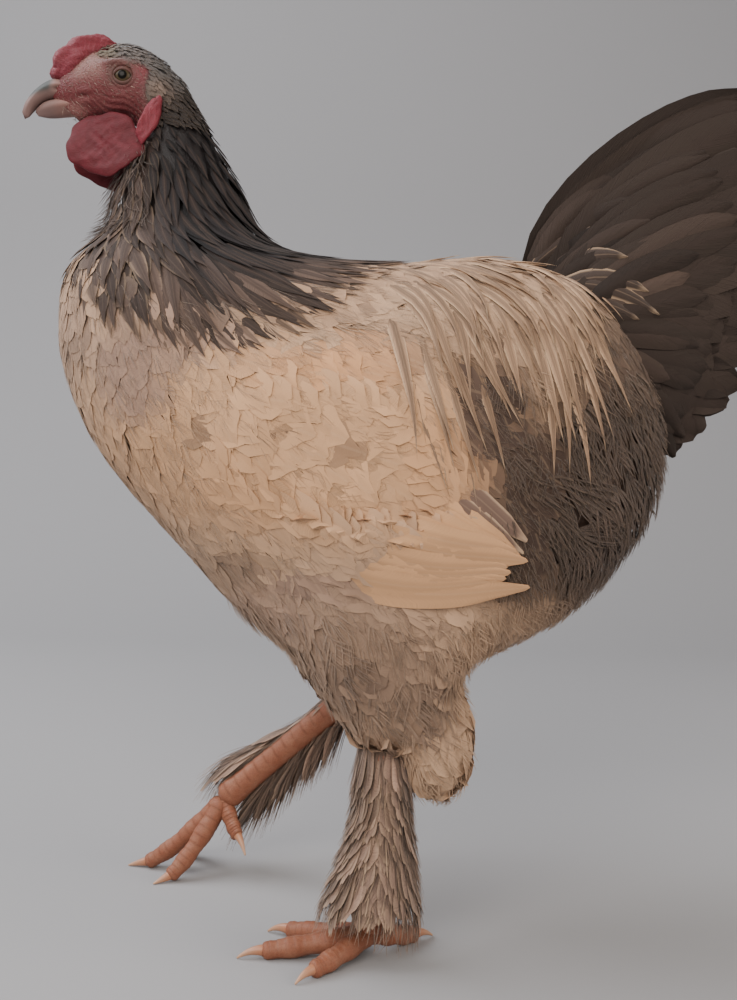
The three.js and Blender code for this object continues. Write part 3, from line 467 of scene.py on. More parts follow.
def vanes(lines, outs, half, outline, cols=3, cup=0.6, thick=0.22, twist=0.0, fray=None):
    """Closed lens-shaped vanes along middle lines. Across each one, a point lies at
    half * outline * u to the side, cup * u^2 below and thick * (1 - u^2) over or under. Fray
    (feathers, cols) is the share of its length by which each column falls short. Gives points,
    quads, and each point's place u and share of the length."""
    count, rows = lines.shape[:2]
    shares = steps(rows)
    width = smooth(outline, shares)[None, :, None] * np.reshape(half, (-1, 1, 1))
    tangent = unit(np.gradient(lines, axis=1))
    side = unit(np.cross(outs, tangent))
    if np.any(twist):
        turn = np.reshape(twist, (-1, 1, 1)) * shares[None, :, None]
        side = unit(side * np.cos(turn) + outs * np.sin(turn))
    up = np.cross(tangent, side)
    u = np.linspace(-1, 1, cols)
    middle = lines[:, :, None] + (side * width)[:, :, None] * u[:, None]
    if fray is not None:
        at = np.interp(shares[None, :, None] * (1 - fray[:, None]), shares, np.arange(rows))
        i = np.minimum(at.astype(int), rows - 2)
        one = np.arange(count)[:, None, None]
        short = mix(lines[one, i], lines[one, i + 1], (at - i)[..., None])
        middle += short - lines[:, :, None]
    sag = (cup * (u**2))[:, None]
    plump = np.sin(np.pi * np.clip(shares, 0.04, 0.97))
    swell = (thick * (1 - u**2))[:, None] * plump[:, None, None]
    top = middle + up[:, :, None] * (swell - sag)
    under = middle - up[:, :, None] * (swell + sag)
    points = np.concatenate(
        [top.reshape(count, -1, 3), under[:, 1:-1, 1:-1].reshape(count, -1, 3)], 1
    )
    size = points.shape[1]
    grid = np.arange(rows * cols).reshape(rows, cols)
    low = grid.copy()
    low[1:-1, 1:-1] = rows * cols + np.arange((rows - 2) * (cols - 2)).reshape(rows - 2, cols - 2)

    def squares(g, flip):
        q = np.stack([g[:-1, :-1], g[1:, :-1], g[1:, 1:], g[:-1, 1:]], -1).reshape(-1, 4)
        return q[:, ::-1] if flip else q

    one = np.concatenate([squares(grid, True), squares(low, False)])
    quads = (one[None] + (np.arange(count) * size)[:, None, None]).reshape(-1, 4)
    places = np.stack(np.broadcast_arrays((u[None] + 1) / 2, shares[:, None]), -1)
    own = np.concatenate([places.reshape(-1, 2), places[1:-1, 1:-1].reshape(-1, 2)])
    return points.reshape(-1, 3), quads, np.tile(own, (count, 1)), size


def unwrap(roots):
    """Place of each root on an unwrap of the bird: its turn about the torso's long axis and its
    turn in the side view, both as shares."""
    dx, dz = roots[:, 0] - TORSO["x"], roots[:, 2] - TORSO["z"]
    around = np.arctan2(dz, dx) / (2 * np.pi) + 0.5
    over = np.arctan2(roots[:, 1], np.hypot(dx, dz)) / np.pi + 0.5
    return np.c_[around, over] * 0.96 + 0.02


def feather_piece(name, parts, material, replaces=()):
    """Joins groups of vanes, each as (roots, lines, outs, options, tone, mark), into one piece.
    Tone is each feather's colour, and mark its shaft, rim and chance shares."""
    points, quads, own, bake, tones, marks = [], [], [], [], [], []
    offset = 0
    for roots, lines, outs, options, tone, mark in parts:
        p, q, uv, size = vanes(lines, outs, **options)
        points.append(p)
        quads.append(q + offset)
        own.append(uv)
        bake.append(np.repeat(unwrap(roots), size, 0) + (uv - 0.5) * 0.003)
        tones.append(np.repeat(tone, size, 0))
        marks.append(np.repeat(mark, size, 0))
        offset += len(p)
    join = np.concatenate
    piece = make_piece(
        name, join(points), [join(quads)], material,
        maps={"Vane": join(own), "OFBake": join(bake)}, tones=join(tones), marks=join(marks),
        replaces=replaces,
    )
    piece.data.set_sharp_from_angle(angle=math.radians(60))
    return piece


def spread(points, gap):
    """Indices of points that keep at least a gap from all earlier ones that are kept."""
    tree = kdtree.KDTree(len(points))
    for i, p in enumerate(points):
        tree.insert(p, i)
    tree.balance()
    kept = np.ones(len(points), bool)
    for i, p in enumerate(points):
        if kept[i]:
            near = [j for _, j, _ in tree.find_range(p, gap) if j > i]
            kept[near] = False
    return np.flatnonzero(kept)


def roots_on_skin(chance, gap, inside, crowd=6):
    """Feather roots on the skin where inside(points) is true, evenly a gap apart: many chance
    points by face area, of which those too near to an earlier one are dropped."""
    mesh = bpy.data.objects["skin"].data
    mesh.calc_loop_triangles()
    corner = np.empty(len(mesh.loop_triangles) * 3, np.int32)
    mesh.loop_triangles.foreach_get("vertices", corner)
    co = np.empty(len(mesh.vertices) * 3, np.float32)
    mesh.vertices.foreach_get("co", co)
    tri = co.reshape(-1, 3)[corner.reshape(-1, 3)] * 1000 - SHIFT
    tri = tri[inside(tri.mean(1))]
    area = np.linalg.norm(np.cross(tri[:, 1] - tri[:, 0], tri[:, 2] - tri[:, 0]), axis=1) / 2
    count = int(area.sum() / gap**2 * crowd)
    pick = chance.choice(len(tri), count, p=area / area.sum())
    a, b = chance.random((2, count, 1))
    flip = a + b > 1
    a, b = np.where(flip, 1 - a, a), np.where(flip, 1 - b, b)
    t = tri[pick]
    p = t[:, 0] + a * (t[:, 1] - t[:, 0]) + b * (t[:, 2] - t[:, 0])
    return p[spread(p, gap)]


# Materials.
def node(tree, kind, inputs=None, **settings):
    """A shader node with its settings, and inputs by name or index as constants or as links."""
    made = tree.nodes.new(kind)
    for key, value in settings.items():
        setattr(made, key, value)
    for key, value in (inputs or {}).items():
        if isinstance(value, bpy.types.NodeSocket):
            tree.links.new(value, made.inputs[key])
        else:
            made.inputs[key].default_value = value
    return made


def number(tree, operation, *values):
    """Output of one arithmetic node."""
    return node(tree, "ShaderNodeMath", dict(enumerate(values)), operation=operation).outputs[0]


def band(tree, value, low, high):
    """0 where the value is below low, 1 above high, smooth between (or the reverse)."""
    made = node(tree, "ShaderNodeMapRange", {0: value, 1: low, 2: high},
                interpolation_type="SMOOTHSTEP")
    return made.outputs[0]


def tinted(tree, share, a, b):
    """Colour a changed into b by the share."""
    return node(tree, "ShaderNodeMix", {0: share, 6: a, 7: b}, data_type="RGBA").outputs[2]


def material(name, colour, roughness, bump=None, bump_depth=0.0002, **extra):
    """A principled material. Colour and bump are constants or functions of the node tree."""
    made = bpy.data.materials.new(name)
    made.use_nodes = True
    tree = made.node_tree
    shader = tree.nodes["Principled BSDF"]
    values = {"Base Color": colour, "Roughness": roughness, **extra}
    if bump:
        height = node(tree, "ShaderNodeBump", {"Height": bump(tree), "Distance": bump_depth,
                                               "Strength": 1.0})
        values["Normal"] = height.outputs[0]
    for key, value in values.items():
        if callable(value):
            value = value(tree)
        if isinstance(value, bpy.types.NodeSocket):
            tree.links.new(value, shader.inputs[key])
        else:
            shader.inputs[key].default_value = value
    return made


def rgba(colour):
    return (*colour, 1.0)


def attribute(tree, name, part="Color"):
    return node(tree, "ShaderNodeAttribute", attribute_name=name).outputs[part]


def object_noise(tree, scale):
    """Noise on the object's own coordinates, with the scale in parts per metre."""
    place = node(tree, "ShaderNodeTexCoord").outputs["Object"]
    inputs = {"Vector": place, "Scale": scale, "Detail": 3.0}
    return node(tree, "ShaderNodeTexNoise", inputs).outputs[0]


def object_cells(tree, scale):
    """Distance to the middle of the nearest cell, on the object's own coordinates."""
    place = node(tree, "ShaderNodeTexCoord").outputs["Object"]
    return node(tree, "ShaderNodeTexVoronoi", {"Vector": place, "Scale": scale}).outputs[0]


def vane_place(tree):
    """Distance from the shaft (0 to 1), share of the length, and a slanted barb coordinate."""
    uv = node(tree, "ShaderNodeUVMap", uv_map="Vane").outputs[0]
    parts = node(tree, "ShaderNodeSeparateXYZ", {0: uv})
    off = number(tree, "ABSOLUTE", number(tree, "SUBTRACT", parts.outputs[0], 0.5))
    off = number(tree, "MULTIPLY", off, 2.0)
    along = parts.outputs[1]
    barb = number(tree, "SUBTRACT", along, number(tree, "MULTIPLY", off, 0.22))
    return off, along, barb


def barb_noise(tree, fine):
    """Streaks along the barbs, different on each feather and on its two sides."""
    _, _, barb = vane_place(tree)
    marks = node(tree, "ShaderNodeSeparateColor", {0: attribute(tree, "marks")})
    place = number(tree, "ADD", number(tree, "MULTIPLY", barb, fine),
                   number(tree, "MULTIPLY", marks.outputs[2], 91.0))
    return node(tree, "ShaderNodeTexNoise", {"W": place, "Scale": 1.0, "Detail": 2.0},
                noise_dimensions="1D").outputs[0]


def plumage(name, look, fine=70.0, soft=0.06, streaks=0.22, relief=0.0004):
    """Feather material: the coat's colour with barb streaks, painted shade over the root end of
    each vane, a dark shaft streak where marks' red is high, and a pale rim where its green is high.
    Soft is the sheen weight, and twice it is the strength of a painted highlight along the shaft."""

    def colour(tree):
        off, along, _ = vane_place(tree)
        marks = node(tree, "ShaderNodeSeparateColor", {0: attribute(tree, "marks")})
        coat = attribute(tree, "coat")
        streak = band(tree, barb_noise(tree, fine), 0.3, 0.7)
        worn = tinted(tree, number(tree, "MULTIPLY", streak, streaks), coat, rgba((0.0, 0.0, 0.0)))
        # Painted shade: the root third of each vane is darkened towards black, as if shaded by the
        # feathers over it.
        root_shade = tinted(tree, number(tree, "MULTIPLY", band(tree, along, 0.35, 0.0), 0.3), worn,
                     rgba((0.0, 0.0, 0.0)))
        width = number(tree, "ADD", off, number(tree, "MULTIPLY", along, 0.22))
        shaft = number(tree, "MULTIPLY", band(tree, width, 0.62, 0.34), marks.outputs[0])
        dark = tinted(tree, shaft, root_shade, rgba(look.shaft))
        edge = number(tree, "MAXIMUM", band(tree, off, 0.62, 0.9), band(tree, along, 0.86, 0.97))
        rim = number(tree, "MULTIPLY", edge, marks.outputs[1])
        laced = tinted(tree, rim, dark, rgba(look.rim))
        # Painted highlight: a pale line along the shaft ridge of each vane, as strong as twice the
        # sheen weight.
        shaft_highlight = number(tree, "MULTIPLY", band(tree, off, 0.1, 0.03), soft * 2)
        return tinted(tree, shaft_highlight, laced, rgba(look.rim))

    return material(name, colour, 0.78, bump=lambda tree: barb_noise(tree, fine),
                    bump_depth=relief, **{"Specular IOR Level": 0.25, "Sheen Weight": soft,
                                          "Sheen Roughness": 0.5})


# Flesh: colour between its grains, and patches of the paler colour in parts per metre.
DEEP_RED = (0.08, 0.01, 0.01)
CLOUD_SCALE = 140.0


def flesh(name, base, pale, scale, depth, roughness=0.5, grained=None):
    """Fleshy skin with small grains, paler on some of them. Grained, a function of the node
    tree, gives the share of the grains that shows at each place."""

    def colour(tree):
        strength = grained(tree) if grained else 1.0
        faint = number(tree, "MULTIPLY", strength, 0.4)
        strong = number(tree, "MULTIPLY", strength, 0.3)
        cells = object_cells(tree, scale)
        cloud = object_noise(tree, CLOUD_SCALE)
        first = base(tree) if callable(base) else rgba(base)
        mixed = tinted(tree, number(tree, "MULTIPLY", band(tree, cloud, 0.35, 0.75), faint), first,
                       rgba(pale))
        return tinted(tree, number(tree, "MULTIPLY", band(tree, cells, 0.3, 0.8), strong), mixed,
                      rgba(DEEP_RED))

    def bump(tree):
        return number(tree, "SUBTRACT", 1.0, object_cells(tree, scale))

    return material(name, colour, roughness, bump=bump, bump_depth=depth,
                    **{"Specular IOR Level": 0.25, "Subsurface Weight": 0.12,
                       "Subsurface Radius": (0.004, 0.0015, 0.001), "Subsurface Scale": 0.6})


# Colours of the coat by place in the side view: centre x, z, half sizes, colour and strength.
PATCHES = [
    (-40, 330, 150, 60, "peach", 0.75),
    # The next two rows are painted shade in the band under the hackle's lower edge, between breast
    # and wing.
    (-145, 372, 30, 32, "grey_and_shade", 0.85),
    (-110, 392, 36, 16, "grey_and_shade", 0.7),
    (-190, 400, 20, 34, "grey_and_shade", 0.45),
    (-36, 378, 30, 14, "amber", 0.4),
    (5, 384, 26, 18, "amber", 0.4),
    (50, 315, 26, 44, "amber", 0.2),
    (-70, 300, 30, 20, "amber", 0.12),
    (-136, 322, 8, 5, "smoke", 0.5),
    (-128, 312, 6, 5, "smoke", 0.5),
    (-196, 384, 6, 12, "smoke", 0.35),
    (-186, 392, 4, 8, "smoke", 0.4),
    (-112, 386, 6, 5, "smoke", 0.5),
    (-62, 336, 5, 4, "smoke", 0.5),
    (-10, 330, 8, 4, "smoke", 0.5),
    (-100, 262, 10, 6, "smoke", 0.45),
    (-44, 243, 16, 5, "smoke", 0.6),
    (20, 402, 12, 6, "smoke", 0.5),
    (-8, 418, 14, 5, "smoke", 0.5),
    (-95, 338, 6, 4, "smoke", 0.5),
    (-78, 252, 22, 15, "smoke", 0.5),
    (-20, 245, 30, 10, "grey_and_shade", 0.6),
    (-2, 285, 7, 4, "smoke", 0.4),
    (25, 277, 9, 4, "smoke", 0.4),
    (28, 379, 6, 6, "smoke", 0.4),
    (-48, 340, 7, 4, "smoke", 0.6),
    (76, 352, 26, 44, "smoke", 0.95),
    (96, 316, 22, 30, "smoke", 0.9),
    (150, 300, 78, 84, "fluff", 1.0),
    (95, 270, 30, 34, "fluff", 0.9),
    (190, 380, 60, 60, "fluff", 0.9),
    (40, 455, 110, 26, "tan", 0.8),
    (-30, 425, 40, 22, "tan", 0.7),
    (0, 190, 60, 60, "thigh", 0.8),
    (-60, 225, 30, 20, "grey_and_shade", 0.5),
    (-6, 186, 14, 16, "smoke", 0.45),
    (44, 160, 16, 20, "thigh", 0.9),
]


def markings(p, look):
    """Colour of the coat at each place, from breast to fluff, with the hackle and head over it,
    painted shade in the band under the hackle's lower edge, and painted shade round the eyes.
    """
    x, z = p[:, 0], p[:, 2]
    tone = np.tile(np.array(look.breast), (len(p), 1))

    def lay_over(share, colour):
        tone[:] = mix(tone, np.array(colour), share[:, None])

    for cx, cz, rx, rz, colour, strength in PATCHES:
        reach = np.hypot((x - cx) / rx, (z - cz) / rz)
        lay_over(strength * ease(reach, 1.3, 0.55), getattr(look, colour))
    above = z - hackle_edge(x)
    behind = ease(x - smooth(NECK["x"], z), -28, -4) * ease(above, 22, 52)
    cape = ease(above, -5, 12)
    lay_over(cape, mix(np.array(look.cape_edge), np.array(look.cape_front),
                       ease(above, 8, 70)[:, None]))
    lay_over(cape * behind, look.cape_back)
    lay_over(ease(z, 482, 505) * ease(x, -168, -178) * ease(z, 560, 545), look.throat)
    lay_over(ease(z - 0.5 * (x + 150), 552, 578), look.nape)
    lay_over(ease(z, 570, 586) * ease(x, -142, -164), look.crown)
    lay_over(ease(z, 582, 590) * ease(x, -172, -182), look.brow)
    lay_over(np.exp(-(((x + 148) / 9) ** 2) - ((z - 568) / 8) ** 2), look.ear)
    tone[:] = mix(tone, face_tone(x, z, look), bare(p)[:, None])
    return tone


def face_tone(x, z, look):
    """Colours of the bare face: pale in front of and over the eye, red behind and below it, and
    round the eye the lids' dark skin colour spread wider as painted shade, with a painted shadow in
    a strip above it under the brow.
    """
    tone = np.tile(np.array(look.face), (len(x), 1))
    # The two lid rows paint shade: a ring round the eye in the lids' dark colour, and a painted
    # shadow in a strip above it under the brow.
    for cx, cz, rx, rz, colour, strength in (
        (-197, 588, 12, 11, "lore", 0.85), (-176, 591, 14, 4, "lid", 0.6),
        (-157, 577, 6, 10, "lobe", 0.5), (-180, 548, 22, 11, "wattle", 0.7),
        (-208, 556, 10, 8, "lore", 0.4), (-174, 580, 9.5, 8.5, "lid", 0.9),
    ):
        share = strength * np.exp(-(((x - cx) / rx) ** 4) - ((z - cz) / rz) ** 4)
        tone = mix(tone, np.array(getattr(look, colour)), share[:, None])
    return tone


HACKLE_EDGE = [[-215, 482], [-197, 464], [-185, 435], [-170, 413], [-148, 404], [-122, 397],
               [-98, 392], [-75, 401], [-48, 413], [-20, 432], [5, 455], [30, 475]]


def hackle_edge(x):
    """Height of the hackle's lower edge at each x."""
    return smooth(HACKLE_EDGE, x)


# Skin.
def torso_rough():
    lean = np.radians(np.linspace(-82, 82, 25))[:, None]
    turn = np.radians(np.arange(0, 360, 6))[None]
    d = np.stack(np.broadcast_arrays(np.cos(lean) * np.cos(turn), np.sin(lean),
                                     np.cos(lean) * np.sin(turn)), -1).reshape(-1, 3)
    centre = np.array([TORSO["x"], 0, TORSO["z"]])
    away = 100.0
    height = torso_height(centre + d * away)
    rings = (centre + d * (away - height)[:, None]).reshape(25, 60, 3)
    half = TORSO["half"]
    return loft(rings, centre - (0, half, 0), centre + (0, half, 0))


def body_rough():
    """Rough closed shapes of torso, neck, head and thighs for the remesher."""
    z = np.linspace(390, 580, 20)
    neck = tube(np.c_[smooth(NECK["x"], z), z * 0, z], smooth(NECK["wide"], z),
                smooth(NECK["deep"], z))
    x = np.linspace(-221, -139, 20)
    head = tube(np.c_[x, x * 0, smooth(HEAD["z"], x)], smooth(HEAD["wide"], x),
                smooth(HEAD["tall"], x))
    shapes = [torso_rough(), neck, head]
    for leg in LEGS.values():
        (hx, hy, hz), (kx, ky, kz) = leg["hip"], leg["hock"]
        t = np.linspace(0, 1, 12)
        girth = smooth(THIGH["girth"], t)
        centres = np.c_[mix(hx, kx, t), mix(hy, ky, t), mix(hz, kz, t)]
        shapes.append(tube(centres, 46 * girth, 54 * girth))
        behind = np.array([[kx + 26, ky, z] for z in np.linspace(kz - 24, kz + 40, 9)])
        round_half = 21 * np.sqrt(1 - np.linspace(-0.96, 0.96, 9) ** 2)
        shapes.append(tube(behind, round_half, round_half * 1.2))
    return shapes


def remeshed(shapes, size):
    """One closed surface round all the shapes, as points and quads, by the voxel remesher."""
    points, faces, offset = [], [], 0
    for p, quads, tris in shapes:
        points.append(p)
        faces += [tuple(f) for f in (quads + offset).tolist()]
        faces += [tuple(f) for f in (tris + offset).tolist()]
        offset += len(p)
    mesh = bpy.data.meshes.new("rough")
    mesh.from_pydata(placed(np.concatenate(points)).tolist(), [], faces)
    rough = bpy.data.objects.new("rough", mesh)
    bpy.context.scene.collection.objects.link(rough)
    remesh = rough.modifiers.new("union", "REMESH")
    remesh.mode = "VOXEL"
    remesh.voxel_size = size * 0.001
    done = rough.evaluated_get(bpy.context.evaluated_depsgraph_get())
    result = bpy.data.meshes.new_from_object(done)
    bpy.data.objects.remove(rough)
    bpy.data.meshes.remove(mesh)
    return result


def mesh_points(mesh):
    co = np.empty(len(mesh.vertices) * 3, np.float32)
    mesh.vertices.foreach_get("co", co)
    return co.reshape(-1, 3).astype(float) * 1000 - SHIFT


def face_relief(p):
    """How far the face stands out or in: a socket and a lid ring as bells of the distance from
    the eye, a brow, waves across cheek and lore, and lips along the gape."""
    x, y, z = p.T
    side = ease(np.abs(y), 4, 11) * ease(x, -134, -146)
    dx, dz = x - EYE["x"], z - EYE["z"]
    d = np.hypot(dx, dz * 1.08)
    turn = np.arctan2(dz, dx)
    low = ease(np.sin(turn), 0.3, -0.6)
    relief = -5.6 * ease(d, 7.0, 4.8) - 0.7 * ease(d, 11, 7.5)
    relief += 0.5 * np.exp(-(((d - 8.0) / 1.2) ** 2))
    relief -= 0.35 * low * np.exp(-(((d - 10.0 - 0.5 * np.sin(3 * turn)) / 0.8) ** 2))
    relief += 1.9 * np.exp(-(((z - 588.5 - 0.12 * (x + 175)) / 2.6) ** 2) - ((x + 176) / 11) ** 2)
    cheek = np.exp(-(((z - 558) / 10) ** 2) - ((x + 177) / 20) ** 2) * ease(d, 9, 13)
    fold = np.sin((z + 0.45 * x + 2.2 * np.sin(x / 5.1)) * 2 * np.pi / 3.4)
    relief += cheek * (1.4 + 0.36 * fold)
    lore = np.exp(-(((z - 577) / 8) ** 2) - ((x + 197) / 10) ** 2)
    relief += lore * 0.22 * np.sin((x + 0.8 * z + 1.5 * np.sin(z / 3)) * 2 * np.pi / 2.6)
    fine = np.sin(x * 2.1 + 2 * np.sin(z * 0.7)) * np.sin(z * 2.3 + 1.7 * np.sin(x * 0.6))
    relief += 0.13 * fine * bare(p)
    relief -= 1.1 * np.exp(-(((x + 200) / 4) ** 2) - ((z - 566.5) / 1.1) ** 2)
    relief += 0.8 * np.exp(-(((x + 198) / 5) ** 2) - ((z - 570) / 2) ** 2)
    relief += 0.8 * np.exp(-(((x + 198) / 5) ** 2) - ((z - 563) / 2) ** 2)
    return relief * side


def build_skin(look):
    """Skin of the whole bird as one surface, finer at the head, at the coat's depth under the
    outer form, with the same colours as the coat."""
    mesh = remeshed(body_rough(), look.skin_cell * 1000)
    p = mesh_points(mesh)
    for _ in range(4):
        p = settle(p, -coat_depth(p), 1)
    mesh.vertices.foreach_set("co", placed(p).astype(np.float32).ravel())
    fine = bmesh.new()
    fine.from_mesh(mesh)
    low_x, low_z = -0.001 * 136 + placed([0, 0, 0])[0], 0.536
    edges = [e for e in fine.edges if all(v.co.x < low_x and v.co.z > low_z for v in e.verts)]
    bmesh.ops.subdivide_edges(fine, edges=edges, cuts=4, use_grid_fill=True)
    bmesh.ops.triangulate(fine, faces=[f for f in fine.faces if len(f.verts) > 4])
    fine.to_mesh(mesh)
    fine.free()
    p = mesh_points(mesh)
    p = settle(p, -coat_depth(p), 2)
    _, out, _ = slope_at(p)
    p = p + out * face_relief(p)[:, None]
    mesh.vertices.foreach_set("co", placed(p).astype(np.float32).ravel())
    mesh.name = "skin"
    mesh.shade_smooth()
    paint(mesh, "coat", markings(p, look), bare(p))
    face = flesh("skin", lambda tree: attribute(tree, "coat"), look.face_pale, 900.0, 0.0003,
                 grained=lambda tree: attribute(tree, "coat", "Alpha"))
    mesh.materials.clear()
    mesh.materials.append(face)
    piece = bpy.data.objects.new("skin", mesh)
    bpy.context.scene.collection.objects.link(piece)
    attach(piece, "root")
    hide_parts("torso", "neck", "head", "thigh_left", "thigh_right")


# Plumage.
def marks_of(chance, count, shaft, rim):
    """Shaft, rim and chance shares of each feather."""
    vary = chance.uniform(0.6, 1.2, (2, count))
    return np.clip(np.c_[shaft * vary[0], rim * vary[1], chance.random(count)], 0, 1)


def varied(chance, tone, amount=0.12):
    """Each feather's colour made a little lighter or darker."""
    return tone * np.exp(chance.normal(0, amount, (len(tone), 1)))


def coat_part(chance, look, roots, length, half, lift, rows=7, cols=3, outline=OVAL, yaw=0.16,
              shaft=0.1, rim=0.15, cup=0.4, tone=None, way=lie_of, bend=0.0, amount=0.08,
              thick=0.16, fray=0.0, group=1, fan=0.5):
    """One group of feathers for feather_piece, laid from its roots. With a group, each root
    bears that many wisps as a plume, fanned out and bent back in."""
    count = len(roots)
    length = np.broadcast_to(length, count) * chance.uniform(0.85, 1.15, count)
    half = np.broadcast_to(half, count) * chance.uniform(0.85, 1.15, count)
    turn = chance.normal(0, yaw, count)
    bend = chance.normal(0, bend, count)
    shade = np.exp(chance.normal(0, amount, (count, 1)))
    mark = marks_of(chance, count, shaft, rim)
    if group > 1:
        place = np.tile(np.linspace(-1, 1, group), count)
        roots, length, half, turn, bend, shade, mark = (
            np.repeat(v, group, 0) for v in (roots, length, half, turn, bend, shade, mark)
        )
        length = length * (1 - 0.3 * place**2) * chance.uniform(0.85, 1.15, len(place))
        turn = turn + place * fan + chance.normal(0, 0.08, len(place))
        bend = bend - place * fan * 0.8
        count = len(place)
    lines, outs = lay(roots, length, rows, lift, turn, way, bend)
    if tone is None:
        tone = markings(lines[:, rows // 2], look)
    options = dict(half=half, outline=outline, cols=cols, cup=cup, thick=thick)
    if fray:
        u = np.linspace(-1, 1, cols)
        teeth = 0.5 * (np.arange(cols) % 2) + chance.random((count, cols))
        options["fray"] = np.clip(0.2 * u**2 + fray * teeth, 0, 0.8)
    return roots, lines, outs, options, tone * shade, mark


def on_body(p):
    """True on torso and thighs, below the hackle's roots and clear of the fluff behind."""
    fluff = (p[:, 0] > 100) & (p[:, 2] < 385)
    return ((p[:, 2] < hackle_edge(p[:, 0]) + 26) | (p[:, 0] > -30)) & ~fluff


def build_contour(look):
    """Body feathers that lie like scales, smallest on the breast's front, in three pieces."""
    chance = np.random.default_rng(11)
    parts = {
        "breast_coat": lambda p: on_body(p) & (p[:, 0] < -70) & (p[:, 2] > 215),
        "flank_coat": lambda p: on_body(p) & (p[:, 0] >= -70) & (p[:, 2] > 250),
        "belly_coat": lambda p: (p[:, 2] <= 250) & ((p[:, 2] <= 215) | (p[:, 0] >= -70)),
    }
    shade = plumage("contour", look)
    for name, inside in parts.items():
        roots = roots_on_skin(chance, look.contour_gap * 1000, inside)
        front = ease(roots[:, 0], -120, -190)
        length = mix(36, 26, front)
        tilt = chance.uniform(-0.15, 0.15, len(roots))
        part = coat_part(chance, look, roots, length, mix(11.5, 9, front),
                         lambda share: mix(-2.2, tilt, 1 - (1 - share) ** 2.4), rows=6, cols=7,
                         cup=0.1, outline=BROAD, fray=0.12, yaw=0.3, thick=0.08, rim=0.05,
                         amount=0.06)
        feather_piece(name, [part], shade)


def build_down(look):
    """Wisps between the body feathers, which soften their edges."""
    chance = np.random.default_rng(13)
    shade = plumage("down", look, 40.0, 0.25)
    for name, inside in (("down_front", lambda p: on_body(p) & (p[:, 0] < -50) & (p[:, 2] > 215)),
                         ("down_back", lambda p: on_body(p) & (p[:, 0] >= -50)
                          & (p[:, 2] > 215))):
        roots = roots_on_skin(chance, look.down_gap * 1000, inside, 3)
        tilt = np.repeat(chance.uniform(0.1, 0.8, len(roots)), 6)
        wisps = coat_part(chance, look, roots, 24, 0.4, lambda share: mix(-1, tilt, share**0.5),
                          rows=3, outline=WISP, yaw=0.2, bend=0.25, cup=0, amount=0.05,
                          thick=0.1, group=6, fan=0.3)
        feather_piece(name, [wisps], shade)


def build_hackle(look):
    """Hackle: pointed feathers from the head down over the shoulders, longer towards the base."""
    chance = np.random.default_rng(23)
    roots = roots_on_skin(
        chance, look.hackle_gap * 1000,
        lambda p: (p[:, 2] > hackle_edge(p[:, 0]) + 14) & (p[:, 0] < 10) & (bare(p) < 0.3)
        & (p[:, 2] < 562), 5,
    )
    x, _, z = roots.T
    front = ease(x, smooth(NECK["x"], z) + 8, smooth(NECK["x"], z) - 40)
    room = z - hackle_edge(x)
    length = mix(14, 84, ease(z, 556, 440)) * (1 - 0.5 * front**2)
    length = np.minimum(length, np.maximum(room + 22, 12))
    half = mix(2.0, 5.4, ease(z, 560, 465))
    tilt = chance.uniform(0, 1, len(roots)) * mix(1.2, 3.0, ease(z, 540, 440))
    dark = (chance.random((len(roots), 1)) < 0.3) * (z > hackle_edge(x) + 24)[:, None]
    tone = markings(roots - length[:, None] * (-0.05, 0, 0.3), look)
    tone = tone * mix(1, 0.45, dark)
    part = coat_part(chance, look, roots, length, half, lambda share: mix(-2.5, tilt, share**0.8),
                     rows=8, cols=5, outline=LANCE, yaw=0.1, shaft=0.6,
                     rim=0.2 * ease(x, smooth(NECK["x"], z), smooth(NECK["x"], z) - 30),
                     cup=0.5, amount=0.26, fray=0.03, tone=tone)
    feather_piece("hackle", [part], plumage("hackle", look, soft=0.02))


def build_bristles(look):
    """Bristles: hair-like feathers of the throat and very short ones on the face."""
    chance = np.random.default_rng(29)
    shade = plumage("bristle", look, 40.0, 0.1)
    front = roots_on_skin(chance, 2.6, lambda p: (p[:, 2] > 470) & (p[:, 2] < 545)
                          & (p[:, 0] < smooth(NECK["x"], p[:, 2]) - 16), 4)
    tilt = chance.uniform(0, 7, len(front))
    throat = coat_part(chance, look, front, 14, 0.35, lambda share: mix(-1, tilt, share), rows=5,
                       outline=WISP, yaw=0.3, bend=0.3, cup=0, amount=0.3, thick=0.15)
    face = roots_on_skin(chance, 2.5, lambda p: (bare(p) > 0.5) & (p[:, 0] < -150)
                         & (np.hypot(p[:, 0] - EYE["x"], p[:, 2] - EYE["z"]) > 9), 3)
    tilt = chance.uniform(0.3, 0.9, len(face))
    cheek = coat_part(chance, look, face, 3.2, 0.16, lambda share: mix(0.2, tilt, share), rows=4,
                      outline=WISP, yaw=0.4, cup=0, amount=0.4, thick=0.06,
                      tone=np.tile(np.array(look.ear), (len(face), 1)))
    feather_piece("bristles", [throat, cheek], shade)


def saddle_way(p):
    """Down and back over the sides, as the saddle feathers hang."""
    side = np.sign(p[:, 1]) * ease(np.abs(p[:, 1]), 0, 30)
    low = ease(p[:, 2], 455, 400)
    return np.c_[mix(0.7, 0.24, low), mix(0.6, 0.1, low) * side, mix(-0.3, -1, low)]


def laced_part(chance, look):
    """The dark pale-edged feathers behind the saddle: arcs from start to tip on both sides, a
    little over the tail's coverts."""
    x, z, end_x, end_z, half, rise = np.repeat(np.array(LACED, float), 2, 0).T
    side = np.tile((-1.0, 1.0), len(LACED))
    share = steps(12)[None, :, None]
    lines = mix(np.c_[x, side, z][:, None], np.c_[end_x, side, end_z][:, None], share)
    lines[..., 2] += 4 * (rise[:, None, None] * share * (1 - share))[..., 0]
    lines[..., 1] *= tail_half(lines[..., 0], lines[..., 2]) + 7
    outs = np.broadcast_to((np.c_[0 * side, side, 0.2 + 0 * side])[:, None], lines.shape)
    tone = np.tile(np.array(look.tail) * 1.6, (len(x), 1))
    options = dict(half=half, outline=LANCE, cols=7, cup=1.5)
    return lines[:, 0], lines, unit(outs), options, tone, marks_of(chance, len(x), 0.1, 0.4)


